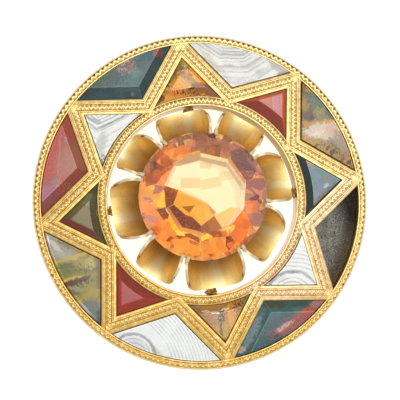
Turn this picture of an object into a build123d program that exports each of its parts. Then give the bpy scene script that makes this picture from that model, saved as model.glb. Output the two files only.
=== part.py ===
from build123d import *
from cmath import rect
from math import atan, cos, degrees, radians, sin, sqrt, tan
from typing import NamedTuple
import os

# A hardstone brooch: a round gold frame, inlaid with bevelled agate, jasper and bloodstone slabs round an
# eight-pointed star, with a large citrine in a fluted collet at its centre. One outer cell is empty.
# Millimetres, +Z out of the face. The origin lies under the centre of the rim, on the surface that the
# foot of the collet rests on. Points of the face are complex numbers, x + iy.

# Round frame: from the outside in, a rim, the star's field, a ring and the opening
frame_thickness = 3.0
back_plate = 0.6
foot_drop = 3.6
rim_width = 1.44
rim_chamfer = 0.3
star_field = 9.06
ring_width = 1.6
opening_diameter = 31.8
star_band = 2.48
engraved_strip = 0.7
engraving_depth = 0.1

# Flat stones
stone_clearance = 0.06
bevel_width = 1.6
table_rise = 0.3
bevel_drop = 0.25
cement_thickness = 1.1

# Citrine
citrine_diameter = 20.84
citrine_shift_x = -0.35
citrine_shift_y = 0.25
girdle_height = 3.6
girdle_thickness = 0.35
crown_height = 3.2
table_diameter = 12.9
table_shift_x = -0.15
table_shift_y = 0.4
star_facet_slope = 26.0
break_facet_steepening = 6.0
pavilion_slope = 41.0
pavilion_break_steepening = 2.5
girdle_sides = 40

# Fluted collet
sheet_thickness = 0.45
foot_diameter = 10.0
foot_wall = 0.8
foot_height = 2.3
foot_bite = 0.2
foot_corner_share = 0.6
slit_width = 0.35
cusp_gap = 0.36
waist_reach = 1.4
waist_depth = 5.6
waist_corner_share = 0.8
petal_end_rise = 1.2
petal_end_slant = 1.1
petal_end_corner = 1.9
claw_width = 0.55
claw_overlap = 0.5
claw_thickness = 0.4
claw_clearance = 0.1
claw_root = 0.9
solder_overlap = 0.35

# Pin on the back
pin_clearance = 0.06
pin_ring_gap = 0.5
pin_rim_gap = 1.5
pin_stem_diameter = 0.9
pin_tip_length = 2.4
pin_point_diameter = 0.25
fitting_length = 3.6
fitting_width = 3.0
fitting_plate = 0.5
fitting_post = 0.8
fitting_barrel = 2.2


class StarPoint(NamedTuple):
    """A star point and the root that follows it counterclockwise, on the middle line of the band."""
    name: str
    tip_azimuth: float
    tip_reach: float      # share of the rim's inner radius
    root_azimuth: float
    root_reach: float     # share of the ring's outer radius


STAR = [
    StarPoint("top", 98.6, 0.994, 121.3, 1.040),
    StarPoint("upper_left", 145.1, 0.988, 166.8, 1.034),
    StarPoint("left", 189.2, 0.980, 210.7, 1.030),
    StarPoint("lower_left", 233.6, 0.975, 256.1, 1.022),
    StarPoint("bottom", 278.8, 0.979, 301.1, 1.037),
    StarPoint("lower_right", 323.4, 0.976, 346.3, 1.033),
    StarPoint("right", 368.3, 0.983, 391.9, 1.035),
    StarPoint("upper_right", 413.1, 0.979, 435.5, 1.035),
]


class Slab(NamedTuple):
    """A flat stone: its cell, and the widths of its bevels as shares of the bevel width."""
    node: str
    cell: str             # outer: between a star point and the next, inner: inside a star point
    point: str
    first: float          # bevel on the straight side that comes first counterclockwise
    second: float
    curved: float         # bevel on the side along the rim or the ring


SLABS = [
    Slab("bloodstone_upper_left", "outer", "top", 1.0, 1.35, 0.12),
    Slab("red_jasper_left", "outer", "upper_left", 1.0, 1.1, 0.2),
    Slab("landscape_agate_lower_left", "outer", "left", 0.15, 0.15, 0.32),
    Slab("banded_agate_bottom", "outer", "lower_left", 0.15, 0.15, 0.15),
    Slab("bloodstone_lower_right", "outer", "bottom", 1.25, 1.25, 0.2),
    Slab("landscape_agate_right", "outer", "right", 0.15, 0.15, 0.25),
    Slab("banded_agate_top", "outer", "upper_right", 0.15, 0.15, 0.15),
    Slab("moss_agate_inner_top", "inner", "top", 0.5, 0.75, 0.95),
    Slab("banded_agate_inner_upper_left", "inner", "upper_left", 0.15, 0.15, 0.15),
    Slab("green_jasper_inner_left", "inner", "left", 0.75, 0.75, 0.85),
    Slab("red_jasper_inner_lower_left", "inner", "lower_left", 0.53, 0.95, 1.0),
    Slab("moss_agate_inner_bottom", "inner", "bottom", 0.2, 0.2, 0.9),
    Slab("banded_agate_inner_lower_right", "inner", "lower_right", 0.15, 0.15, 0.15),
    Slab("bloodstone_inner_right", "inner", "right", 0.3, 0.2, 0.8),
    Slab("red_jasper_inner_upper_right", "inner", "upper_right", 0.56, 0.53, 1.2),
]
EMPTY_CELL = ("outer", "lower_right")


class Petal(NamedTuple):
    """A petal of the collet, from its slit to the next one counterclockwise."""
    name: str
    slit_azimuth: float
    end_azimuth: float
    reach: float          # share of the opening's radius, from the citrine's centre
    flare: float          # half width at the end, as a share of the half width at the claws
    solder_azimuth: float | None


PETALS = [
    Petal("right", -6.3, 13.5, 0.955, 0.95, 4.7),
    Petal("upper_right", 39.3, 60.5, 0.95, 1.05, None),
    Petal("top", 81.5, 104.5, 0.92, 1.02, 98.9),
    Petal("upper_left", 129.3, 148.0, 0.942, 1.1, None),
    Petal("left", 164.1, 190.0, 0.938, 0.93, 187.7),
    Petal("lower_left", 217.4, 237.5, 0.955, 1.1, None),
    Petal("bottom", 253.6, 279.8, 0.95, 1.02, 275.5),
    Petal("lower_right", 305.3, 328.5, 0.935, 0.88, None),
]

# Azimuths of the citrine's ten table corners, uneven as in a stone cut by hand
TABLE_CORNERS = [15.5, 54.0, 95.5, 136.5, 171.5, 203.0, 235.0, 266.5, 299.5, 337.0]
# Where the two break facets stand between one table corner and the next
BREAK_SHARES = [0.25, 0.75]

# Worked out from the sizes above
opening_radius = opening_diameter / 2
ring_outer_radius = opening_radius + ring_width
rim_inner_radius = ring_outer_radius + star_field
rim_radius = rim_inner_radius + rim_width
girdle_radius = citrine_diameter / 2
table_radius = table_diameter / 2
citrine_centre = complex(citrine_shift_x, citrine_shift_y)
table_shift = complex(table_shift_x, table_shift_y)
z_back = foot_drop
z_bed = z_back + back_plate
z_face = z_back + frame_thickness
z_girdle = z_face + girdle_height
z_girdle_top = z_girdle + girdle_thickness
z_table = z_girdle_top + crown_height
pavilion_break_slope = pavilion_slope + pavilion_break_steepening


def polar(radius, azimuth):
    """The point of the face at a radius and an azimuth in degrees, counterclockwise from +X."""
    return rect(radius, radians(azimuth))


def dot(u, v):
    return (u.conjugate() * v).real


def cross(u, v):
    return (u.conjugate() * v).imag


def at(point, z=0.0):
    """A point of the face as a vector at height z."""
    return Vector(point.real, point.imag, z)


def moved_line(a, b, inside, distance):
    """The line through a and b, moved towards the point inside, as a point and a unit direction."""
    along = (b - a) / abs(b - a)
    normal = along * 1j if dot(along * 1j, inside - a) > 0 else along * -1j
    return a + normal * distance, along


def meet(line, other):
    """Where two lines cross."""
    (p, u), (q, v) = line, other
    return p + u * cross(q - p, v) / cross(u, v)


def meet_circle(line, radius, near):
    """Where a line crosses the circle round the origin, on the side of the point near."""
    p, u = line
    half = sqrt(dot(p, u) ** 2 - abs(p) ** 2 + radius ** 2)
    ends = [p - u * (dot(p, u) + half), p - u * (dot(p, u) - half)]
    return min(ends, key=lambda end: abs(end - near))


TIPS = [polar(row.tip_reach * rim_inner_radius, row.tip_azimuth) for row in STAR]
ROOTS = [polar(row.root_reach * ring_outer_radius, row.root_azimuth) for row in STAR]


def cell_face(cell, point, z, insets=(0.0, 0.0, 0.0), clearance=0.0):
    """
    The outline of a cell at height z: two straight sides along the star's bands and an arc along the rim
    or the ring. Each side is moved inwards by its inset and the clearance.
    """
    index = [row.name for row in STAR].index(point)
    following = (index + 1) % len(STAR)
    first, second, curved = (inset + clearance for inset in insets)
    if cell == "outer":
        a, b, c = TIPS[index], ROOTS[index], TIPS[following]
        radius = rim_inner_radius - curved
        inside = b / abs(b) * rim_inner_radius
    else:
        a, b, c = ROOTS[index - 1], TIPS[index], ROOTS[index]
        radius = ring_outer_radius + curved
        inside = b / abs(b) * ring_outer_radius
    first_side = moved_line(a, b, inside, star_band / 2 + first)
    second_side = moved_line(b, c, inside, star_band / 2 + second)
    start = meet_circle(first_side, radius, a)
    corner = meet(first_side, second_side)
    end = meet_circle(second_side, radius, c)
    halfway = (start + end) / abs(start + end) * radius
    sides = [
        Edge.make_line(at(start, z), at(corner, z)),
        Edge.make_line(at(corner, z), at(end, z)),
        Edge.make_three_point_arc(at(end, z), at(halfway, z), at(start, z)),
    ]
    return Face(Wire(sides))


def raised(face, height):
    """A straight prism on a face, up to height above it."""
    return extrude(face, amount=height, dir=(0, 0, 1))


def slab_solid(slab):
    """A flat stone: straight sides up to just under the frame's face, then bevels up to the table."""
    z_edge = z_face - bevel_drop
    bevels = [share * bevel_width for share in (slab.first, slab.second, slab.curved)]
    levels = [
        cell_face(slab.cell, slab.point, z_bed + stone_clearance, clearance=stone_clearance),
        cell_face(slab.cell, slab.point, z_edge, clearance=stone_clearance),
        cell_face(slab.cell, slab.point, z_face + table_rise, bevels, stone_clearance),
    ]
    return loft(levels, ruled=True)


def cement_solid():
    """The cement left on the floor of the empty cell."""
    bed = cell_face(*EMPTY_CELL, z_bed + stone_clearance, clearance=stone_clearance)
    return raised(bed, cement_thickness)


def shaved(stone, azimuth, slope, z, side):
    """The stone with one facet cut: it passes through the girdle radius at height z and leans inwards."""
    out = polar(1.0, azimuth)
    point = citrine_centre + out * girdle_radius
    normal = at(out * sin(radians(slope)), side * cos(radians(slope)))
    return split(stone, bisect_by=Plane(origin=at(point, z), z_dir=normal), keep=Keep.BOTTOM)


def crown_slope(azimuth, steepening=0.0):
    """The slope of a crown facet from the girdle to the table, which sits a little off the centre."""
    run = girdle_radius - table_radius - dot(table_shift, polar(1.0, azimuth))
    return degrees(atan(crown_height / run)) + steepening


def table_star(stone, azimuth, corner_gap):
    """The stone with one star facet cut, which leans down from one side of the table."""
    out = polar(1.0, azimuth)
    point = citrine_centre + table_shift + out * table_radius * cos(radians(corner_gap / 2))
    slope = radians(star_facet_slope)
    normal = at(out * sin(slope), cos(slope))
    return split(stone, bisect_by=Plane(origin=at(point, z_table), z_dir=normal), keep=Keep.BOTTOM)


def citrine_solid():
    """
    A round stone with a ten-sided table. Each table corner has a main facet on the crown and one on the
    pavilion, with a steeper break facet on each side of it, and each table side has a star facet.
    """
    depth = girdle_radius * tan(radians(pavilion_slope))
    outline = Location(at(citrine_centre, z_girdle - depth)) * RegularPolygon(girdle_radius, girdle_sides)
    stone = extrude(outline, amount=z_table - z_girdle + depth)
    corners = TABLE_CORNERS + [TABLE_CORNERS[0] + 360]
    for corner, following in zip(corners, corners[1:]):
        gap = following - corner
        stone = shaved(stone, corner, crown_slope(corner), z_girdle_top, 1)
        stone = shaved(stone, corner, pavilion_slope, z_girdle, -1)
        for share in BREAK_SHARES:
            azimuth = corner + share * gap
            stone = shaved(stone, azimuth, crown_slope(azimuth, break_facet_steepening), z_girdle_top, 1)
            stone = shaved(stone, azimuth, pavilion_break_slope, z_girdle, -1)
        stone = table_star(stone, corner + gap / 2, gap)
    return stone


def disc_cut(inner_radius, outer_radius):
    """A shallow ring cut into the face, as the bed of an engraved strip."""
    band = Circle(outer_radius) - Circle(inner_radius)
    return raised(Location((0, 0, z_face - engraving_depth)) * band, frame_thickness)


def star_outline(offset):
    """The star's middle line moved outwards by offset, as a face."""
    points = [point for pair in zip(TIPS, ROOTS) for point in pair]
    ahead = points[1:] + points[:1]
    lines = [moved_line(a, b, a + b, offset) for a, b in zip(points, ahead)]
    corners = [meet(lines[index - 1], lines[index]) for index in range(len(lines))]
    return make_face(Polyline(*[at(corner) for corner in corners], close=True))


def star_cut():
    """The bed of the engraved strip along the middle of the star's bands, up to the rim."""
    half = engraved_strip / 2
    band = (star_outline(half) - star_outline(-half)) & Circle(rim_inner_radius)
    return raised(Location((0, 0, z_face - engraving_depth)) * band, frame_thickness)


def plate_solid():
    """The annular plate with its cells and the beds of the engraving."""
    section = Plane.XZ * make_face(Polyline(
        (opening_radius, z_back), (rim_radius, z_back), (rim_radius, z_face - rim_chamfer),
        (rim_radius - rim_chamfer, z_face), (opening_radius, z_face), close=True))
    plate = revolve(section, Axis.Z)
    for row in STAR:
        for cell in ("outer", "inner"):
            plate -= raised(cell_face(cell, row.name, z_bed), frame_thickness)
    half = engraved_strip / 2
    ring_middle = opening_radius + ring_width / 2
    rim_middle = rim_inner_radius + (rim_width - rim_chamfer) / 2
    for middle in (ring_middle, rim_middle):
        plate -= disc_cut(middle - half, middle + half)
    return plate - star_cut()


def gutter_section(azimuth, top, floor, half_width, corner):
    """
    A U-shaped section across a petal. Its flanks rise from the floor point to the top point, both given as
    a distance along the petal and a height, and its lower corners are arcs.
    """
    out = polar(1.0, azimuth)
    rise = at(out * (top[0] - floor[0]), top[1] - floor[1])
    depth = rise.length
    across = at(out * 1j)
    plane = Plane(origin=at(citrine_centre + out * floor[0], floor[1]), x_dir=across,
                  z_dir=across.cross(rise))
    edges = []
    for radius, inset, way in ((corner, 0.0, 1), (corner - sheet_thickness, sheet_thickness, -1)):
        edge = half_width - inset
        flat = half_width - corner
        middle = radius * (1 - sqrt(0.5))
        path = [
            Edge.make_line((-edge, depth), (-edge, corner)),
            Edge.make_three_point_arc((-edge, corner), (middle - edge, middle + inset), (-flat, inset)),
            Edge.make_line((-flat, inset), (flat, inset)),
            Edge.make_three_point_arc((flat, inset), (edge - middle, middle + inset), (edge, corner)),
            Edge.make_line((edge, corner), (edge, depth)),
        ]
        edges += path[::way]
    inner = half_width - sheet_thickness
    edges.append(Edge.make_line((half_width, depth), (inner, depth)))
    edges.append(Edge.make_line((-half_width, depth), (-inner, depth)))
    return plane * Face(Wire(edges))


def petal_span(index):
    """The angle between a petal's two slits."""
    following = PETALS[(index + 1) % len(PETALS)].slit_azimuth
    return (following - PETALS[index].slit_azimuth) % 360


def petal_solid(index):
    """
    A petal: a gutter of sheet from the foot ring past the claws, where its flanks reach the girdle, and
    out to its rounded end beside the ring.
    """
    petal = PETALS[index]
    half_span = radians(petal_span(index) / 2)
    middle = petal.slit_azimuth + petal_span(index) / 2
    foot_radius = foot_diameter / 2 - foot_bite
    cusp_radius = girdle_radius + cusp_gap
    foot_width = foot_radius * sin(half_span) - slit_width / 2
    waist_width = cusp_radius * sin(half_span) - slit_width / 2
    end_width = waist_width * petal.flare
    foot_top = (foot_radius * cos(half_span), foot_height - foot_bite)
    foot_floor = (foot_top[0] + foot_bite, sheet_thickness)
    waist_top = (cusp_radius * cos(half_span), z_girdle)
    waist_floor = (waist_top[0] + waist_reach, z_girdle - waist_depth)
    end_floor = (petal.reach * opening_radius, z_face - sheet_thickness)
    end_top = (end_floor[0] - petal_end_slant, z_face + petal_end_rise)
    sections = [
        gutter_section(middle, foot_top, foot_floor, foot_width, foot_width * foot_corner_share),
        gutter_section(middle, waist_top, waist_floor, waist_width, waist_width * waist_corner_share),
        gutter_section(petal.end_azimuth, end_top, end_floor, end_width, petal_end_corner),
    ]
    return loft(sections, ruled=True)


def claw_solid(azimuth, side):
    """One claw of a pair: it rises beside its slit and bends in over the girdle."""
    turn = degrees(side * (slit_width + claw_width) / 2 / girdle_radius)
    out = polar(1.0, azimuth + turn)
    seat = girdle_radius + claw_clearance
    tip = girdle_radius - claw_overlap
    z_seat = z_girdle_top + claw_clearance + claw_thickness / 2
    z_tip = z_seat + claw_overlap * tan(radians(crown_slope(azimuth, break_facet_steepening)))
    profile = make_face(Polyline(
        (seat, z_girdle - claw_root), (seat, z_seat), (tip, z_tip), (tip, z_tip + claw_thickness),
        (seat + sheet_thickness, z_seat + claw_thickness / 2),
        (seat + sheet_thickness + cusp_gap, z_girdle - claw_root), close=True))
    plane = Plane(origin=at(citrine_centre), x_dir=at(out), z_dir=at(out * -1j))
    return extrude(plane * profile, amount=claw_width / 2, both=True)


def solder_solid(petal):
    """The solder between the end of a petal and the inner wall of the ring."""
    end_middle = citrine_centre + polar(petal.reach * opening_radius, petal.end_azimuth)
    out = polar(1.0, petal.solder_azimuth)
    petal_end = meet((0, out), (end_middle, polar(1.0, petal.end_azimuth + 90)))
    gap = opening_radius - abs(petal_end)
    radius = gap / 2 + solder_overlap
    place = at(petal_end + out * gap / 2, z_face - radius - sheet_thickness / 2)
    return Plane(origin=place, x_dir=(0, 0, 1), z_dir=at(out * 1j)) * Sphere(radius)


def collet_solid():
    """The collet: a foot ring with eight petals, and a pair of claws at each slit."""
    place = Location(at(citrine_centre))
    foot = raised(place * (Circle(foot_diameter / 2) - Circle(foot_diameter / 2 - foot_wall)), foot_height)
    pieces = [petal_solid(index) for index in range(len(PETALS))]
    pieces += [claw_solid(petal.slit_azimuth, side) for petal in PETALS for side in (-1, 1)]
    pieces += [solder_solid(petal) for petal in PETALS if petal.solder_azimuth is not None]
    for piece in pieces:
        foot += piece
    return foot


def frame_solid():
    return plate_solid() + collet_solid()


def fitting(x, y):
    """A hinge or catch: a plate on the back, a post and a barrel that reaches down to the surface."""
    z_top = z_back - pin_clearance
    radius = fitting_barrel / 2
    plate = Location((x, y, z_top - fitting_plate / 2)) * Box(fitting_length, fitting_width, fitting_plate)
    post = Location((x, y, (z_top + radius) / 2)) * Box(fitting_length, fitting_post, z_top - radius)
    barrel = Location((x, y, radius), (0, 90, 0)) * Cylinder(radius, fitting_length)
    return plate + post + barrel


def pin_solid():
    """The pin behind the upper stones: hinge, stem and catch as one plain piece."""
    y = ring_outer_radius + pin_ring_gap
    reach = sqrt((rim_inner_radius - pin_rim_gap) ** 2 - y ** 2)
    x = reach - fitting_length / 2
    radius = pin_stem_diameter / 2
    stem = Location((0, y, fitting_barrel / 2), (0, 90, 0)) * Cylinder(radius, 2 * x)
    z_stem = fitting_barrel / 2
    tip = Location((-reach - pin_tip_length / 2, y, z_stem), (0, -90, 0)) * Cone(
        radius, pin_point_diameter / 2, pin_tip_length)
    return stem + tip + fitting(x, y) + fitting(-x, y)


os.makedirs("parts", exist_ok=True)
nodes = {slab.node: slab_solid(slab) for slab in SLABS}
nodes["cement_bed"] = cement_solid()
nodes["citrine"] = citrine_solid()
nodes["frame"] = frame_solid()
nodes["brooch_pin"] = pin_solid()
for name, solid in nodes.items():
    export_step(solid, f"parts/{name}.step")
    print(f"{name}: {len(solid.solids())} solid, {solid.volume:.1f} mm3")
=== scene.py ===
"""The looks of a round gold brooch: agate, jasper and bloodstone slabs round a star, with a large citrine."""

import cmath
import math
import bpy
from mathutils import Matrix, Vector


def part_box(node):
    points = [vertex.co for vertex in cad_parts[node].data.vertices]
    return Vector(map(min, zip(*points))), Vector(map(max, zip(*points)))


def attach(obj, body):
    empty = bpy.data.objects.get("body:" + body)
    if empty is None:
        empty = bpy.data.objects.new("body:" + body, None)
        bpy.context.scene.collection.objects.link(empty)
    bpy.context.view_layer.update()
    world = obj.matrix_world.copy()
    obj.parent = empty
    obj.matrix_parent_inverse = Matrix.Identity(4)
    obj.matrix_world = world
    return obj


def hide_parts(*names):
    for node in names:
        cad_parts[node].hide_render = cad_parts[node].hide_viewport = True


bl_info = {
    "name": "Hardstone brooch",
    "version": (1, 0, 0),
    "blender": (4, 5, 0),
    "location": "View3D > Sidebar > Brooch",
    "description": "Builds the engraved gold, fluted collet and stones of a round hardstone brooch",
    "category": "Object",
}

from typing import NamedTuple

import bpy
import numpy as np
from bpy.props import FloatProperty, FloatVectorProperty, PointerProperty
from mathutils import Matrix, Vector

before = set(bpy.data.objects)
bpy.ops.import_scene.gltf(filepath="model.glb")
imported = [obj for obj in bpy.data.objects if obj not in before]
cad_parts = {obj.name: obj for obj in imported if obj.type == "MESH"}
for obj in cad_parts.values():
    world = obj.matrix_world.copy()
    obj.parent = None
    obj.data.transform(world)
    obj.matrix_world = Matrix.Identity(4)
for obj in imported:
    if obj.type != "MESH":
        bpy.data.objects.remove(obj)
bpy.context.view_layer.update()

MM = 0.001     # all shapes are worked out in millimetres and scaled once, when their mesh is made
NAN = math.nan


# Places that follow the CAD frame

def box_mm(node):
    """Lowest and highest corner of a CAD node in millimetres."""
    return [np.array(corner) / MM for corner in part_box(node)]


FRAME_HIGH = box_mm("frame")[1]
PIN_HIGH = box_mm("brooch_pin")[1]
SLAB_LOW, SLAB_HIGH = box_mm("red_jasper_left")
CITRINE_LOW, CITRINE_HIGH = box_mm("citrine")
CEMENT_LOW, CEMENT_HIGH = box_mm("cement_bed")

CLEARANCE = 0.06          # between a flat stone and its cell
TABLE_RISE = 0.3          # of a flat stone's table over the bands
BEVEL_DROP = 0.25         # from the bands down to a flat stone's upright walls
BEVEL_WIDTH = 1.6         # of a full bevel, of which a stone has its own shares
RIDGE_WIDTH, RIDGE_DROP = 0.18, 0.02
RIM_RADIUS = float(FRAME_HIGH[0])
RIM_INNER = float(CLEARANCE - SLAB_LOW[0])
OPENING_RADIUS = 15.9
RING_OUTER = 17.5
STAR_BAND = 2.48          # width of the star's bands
Z_FACE = float(SLAB_HIGH[2] - TABLE_RISE)
Z_BED = float(SLAB_LOW[2] - CLEARANCE)
Z_BACK = float(PIN_HIGH[2] + CLEARANCE)
CENTRE = complex(*(CITRINE_LOW + CITRINE_HIGH)[:2] / 2)
GIRDLE_RADIUS = float(CITRINE_HIGH[0] - CITRINE_LOW[0]) / 2
GIRDLE_THICKNESS = 0.35
CROWN_HEIGHT = 3.2
Z_GIRDLE = float(CITRINE_HIGH[2]) - CROWN_HEIGHT - GIRDLE_THICKNESS


class StarPoint(NamedTuple):
    """A star point and the root after it counterclockwise, on the middle line of the bands."""
    name: str
    tip_azimuth: float
    tip_reach: float      # share of the rim's inner radius
    root_azimuth: float
    root_reach: float     # share of the ring's outer radius


STAR = [
    StarPoint("top", 98.6, 0.994, 121.3, 1.040),
    StarPoint("upper_left", 145.1, 0.988, 166.8, 1.034),
    StarPoint("left", 189.2, 0.980, 210.7, 1.030),
    StarPoint("lower_left", 233.6, 0.975, 256.1, 1.022),
    StarPoint("bottom", 278.8, 0.979, 301.1, 1.037),
    StarPoint("lower_right", 323.4, 0.976, 346.3, 1.033),
    StarPoint("right", 368.3, 0.983, 391.9, 1.035),
    StarPoint("upper_right", 413.1, 0.979, 435.5, 1.035),
]


class Slab(NamedTuple):
    """A flat stone: its cell, and its bevels as shares of the full bevel width."""
    node: str
    cell: str             # outer: between a star point and the next, inner: inside a star point
    point: str
    first: float          # along the straight side that comes first counterclockwise
    second: float
    curved: float         # along the rim or the ring


SLABS = [
    Slab("bloodstone_upper_left", "outer", "top", 1.0, 1.35, 0.12),
    Slab("red_jasper_left", "outer", "upper_left", 1.0, 1.1, 0.2),
    Slab("landscape_agate_lower_left", "outer", "left", 0.15, 0.15, 0.32),
    Slab("banded_agate_bottom", "outer", "lower_left", 0.15, 0.15, 0.15),
    Slab("bloodstone_lower_right", "outer", "bottom", 1.25, 1.25, 0.2),
    Slab("landscape_agate_right", "outer", "right", 0.15, 0.15, 0.25),
    Slab("banded_agate_top", "outer", "upper_right", 0.15, 0.15, 0.15),
    Slab("moss_agate_inner_top", "inner", "top", 0.5, 0.75, 0.95),
    Slab("banded_agate_inner_upper_left", "inner", "upper_left", 0.15, 0.15, 0.15),
    Slab("green_jasper_inner_left", "inner", "left", 0.75, 0.75, 0.85),
    Slab("red_jasper_inner_lower_left", "inner", "lower_left", 0.53, 0.95, 1.0),
    Slab("moss_agate_inner_bottom", "inner", "bottom", 0.2, 0.2, 0.9),
    Slab("banded_agate_inner_lower_right", "inner", "lower_right", 0.15, 0.15, 0.15),
    Slab("bloodstone_inner_right", "inner", "right", 0.3, 0.2, 0.8),
    Slab("red_jasper_inner_upper_right", "inner", "upper_right", 0.56, 0.53, 1.2),
]
EMPTY_CELL = ("outer", "lower_right")


class Petal(NamedTuple):
    """A petal of the collet, from its slit to the next one counterclockwise."""
    name: str
    slit_azimuth: float
    end_azimuth: float
    reach: float          # share of the opening's radius, from the citrine's centre
    flare: float          # half width at the end, as a share of the half width at the claws
    shine: float          # where its painted highlight stripe lies, in millimetres across it
    solder_azimuth: float | None


PETALS = [
    Petal("right", -6.3, 13.5, 0.955, 0.95, -0.9, 4.7),
    Petal("upper_right", 39.3, 60.5, 0.95, 1.05, 0.7, None),
    Petal("top", 81.5, 104.5, 0.92, 1.02, -1.0, 98.9),
    Petal("upper_left", 129.3, 148.0, 0.942, 1.1, 1.2, None),
    Petal("left", 164.1, 190.0, 0.938, 0.93, 0.9, 187.7),
    Petal("lower_left", 217.4, 237.5, 0.955, 1.1, 0.3, None),
    Petal("bottom", 253.6, 279.8, 0.95, 1.02, 0.2, 275.5),
    Petal("lower_right", 305.3, 328.5, 0.935, 0.88, 0.9, None),
]


# Sizes and colours a user may change

def length_choice(name, description, default, low, high):
    """A length that a user may change, from values in millimetres."""
    return FloatProperty(name=name, description=description, default=default * MM, min=low * MM,
                         max=high * MM, unit="LENGTH")


def colour_choice(name, description, default):
    """A colour that a user may change, as linear red, green and blue."""
    return FloatVectorProperty(name=name, description=description, default=default, subtype="COLOR",
                               min=0.0, max=1.0)


def light_choice(name, description, default):
    """A brightness that a user may change."""
    return FloatProperty(name=name, description=description, default=default, min=0.0)


class BroochSizes(bpy.types.PropertyGroup):
    rim_pitch: length_choice("Rim pitch", "Length of one swing of the rim's engraved line", 0.92, 0.4, 3)
    band_pitch: length_choice("Band pitch", "Length of one swing of the line on the star and the ring",
                              0.72, 0.4, 3)
    engraved_width: length_choice("Engraved width", "Width of the engraved strips", 0.7, 0.3, 1)
    engraving_depth: length_choice("Engraving depth", "Depth of the engraved notches", 0.1, 0.0, 0.3)
    sheet_thickness: length_choice("Sheet", "Thickness of the gold sheet of the petals", 0.45, 0.2, 0.8)
    edge_softness: length_choice("Stone edges", "Width of the polished edge between a stone's faces",
                                 0.07, 0.01, 0.3)


class BroochColours(bpy.types.PropertyGroup):
    # The gold is painted paler over the upper half, as painted light from the top.
    gold: colour_choice("Gold", "Yellow gold of the lower half", (0.68, 0.46, 0.14))
    lit_pale_gold: colour_choice("Pale gold", "Polished gold of the upper half", (0.86, 0.66, 0.28))
    rosy_gold: colour_choice("Rosy gold", "Gold of the lower right star point", (0.82, 0.60, 0.36))
    orange_gold: colour_choice("Orange gold", "Warm film on the gold, in its cuts and in clouds",
                               (0.60, 0.31, 0.055))
    # Painted highlight: bright gold also paints the highlight clouds on the face and the raised ribbon.
    bright_gold: colour_choice("Bright gold", "Rubbed gold of the raised ribbon and of the highlights",
                               (1.0, 0.86, 0.50))
    # On the petals the tarnish colour also paints the shade towards the foot.
    tarnish: colour_choice("Tarnish", "Dark film in the cuts and corners", (0.10, 0.055, 0.018))
    petal_gold: colour_choice("Petal gold", "Brushed gold of the collet", (1.0, 0.71, 0.26))
    citrine: colour_choice("Citrine", "Light that the citrine lets through", (0.985, 0.75, 0.14))
    citrine_depth: FloatProperty(
        name="Citrine depth", description="Colour density of the citrine per metre", default=85.0,
        min=0.0, max=1000.0)


class BroochStage(bpy.types.PropertyGroup):
    softbox: light_choice("Softbox", "Brightness of the overhead softbox", 2.4)
    citrine_light: light_choice("Citrine lights", "Brightness of the lights on the citrine", 5.0)
    surround: light_choice("Surround", "Brightness of the room around", 0.74)
    floor_glow: light_choice("Floor glow", "Light that the pale floor gives by itself", 0.7)


# Shader nodes as Python expressions

class Field:
    """A value that changes over a surface. Operators on it add Math nodes."""

    def __init__(self, paint, socket):
        self.paint, self.socket = paint, socket

    def math(self, operation, *values):
        made = self.paint.node("ShaderNodeMath", {"operation": operation}, dict(enumerate(values)))
        return Field(self.paint, made.outputs[0])

    def __add__(self, other):
        return self.math("ADD", self, other)

    def __sub__(self, other):
        return self.math("SUBTRACT", self, other)

    def __rsub__(self, other):
        return self.math("SUBTRACT", other, self)

    def __mul__(self, other):
        return self.math("MULTIPLY", self, other)

    __radd__, __rmul__ = __add__, __mul__

    def absolute(self):
        return self.math("ABSOLUTE", self)

    def sine(self):
        return self.math("SINE", self)

    def step(self, low, high, top=1.0):
        """0 below low, top above high and a smooth rise between; turned round where low is above high."""
        made = self.paint.node("ShaderNodeMapRange", {"interpolation_type": "SMOOTHSTEP"},
                               {"Value": self, "From Min": low, "From Max": high, "To Max": top})
        return Field(self.paint, made.outputs[0])


FLAT = 1e3     # a stretch in height so long that height no longer counts


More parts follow.
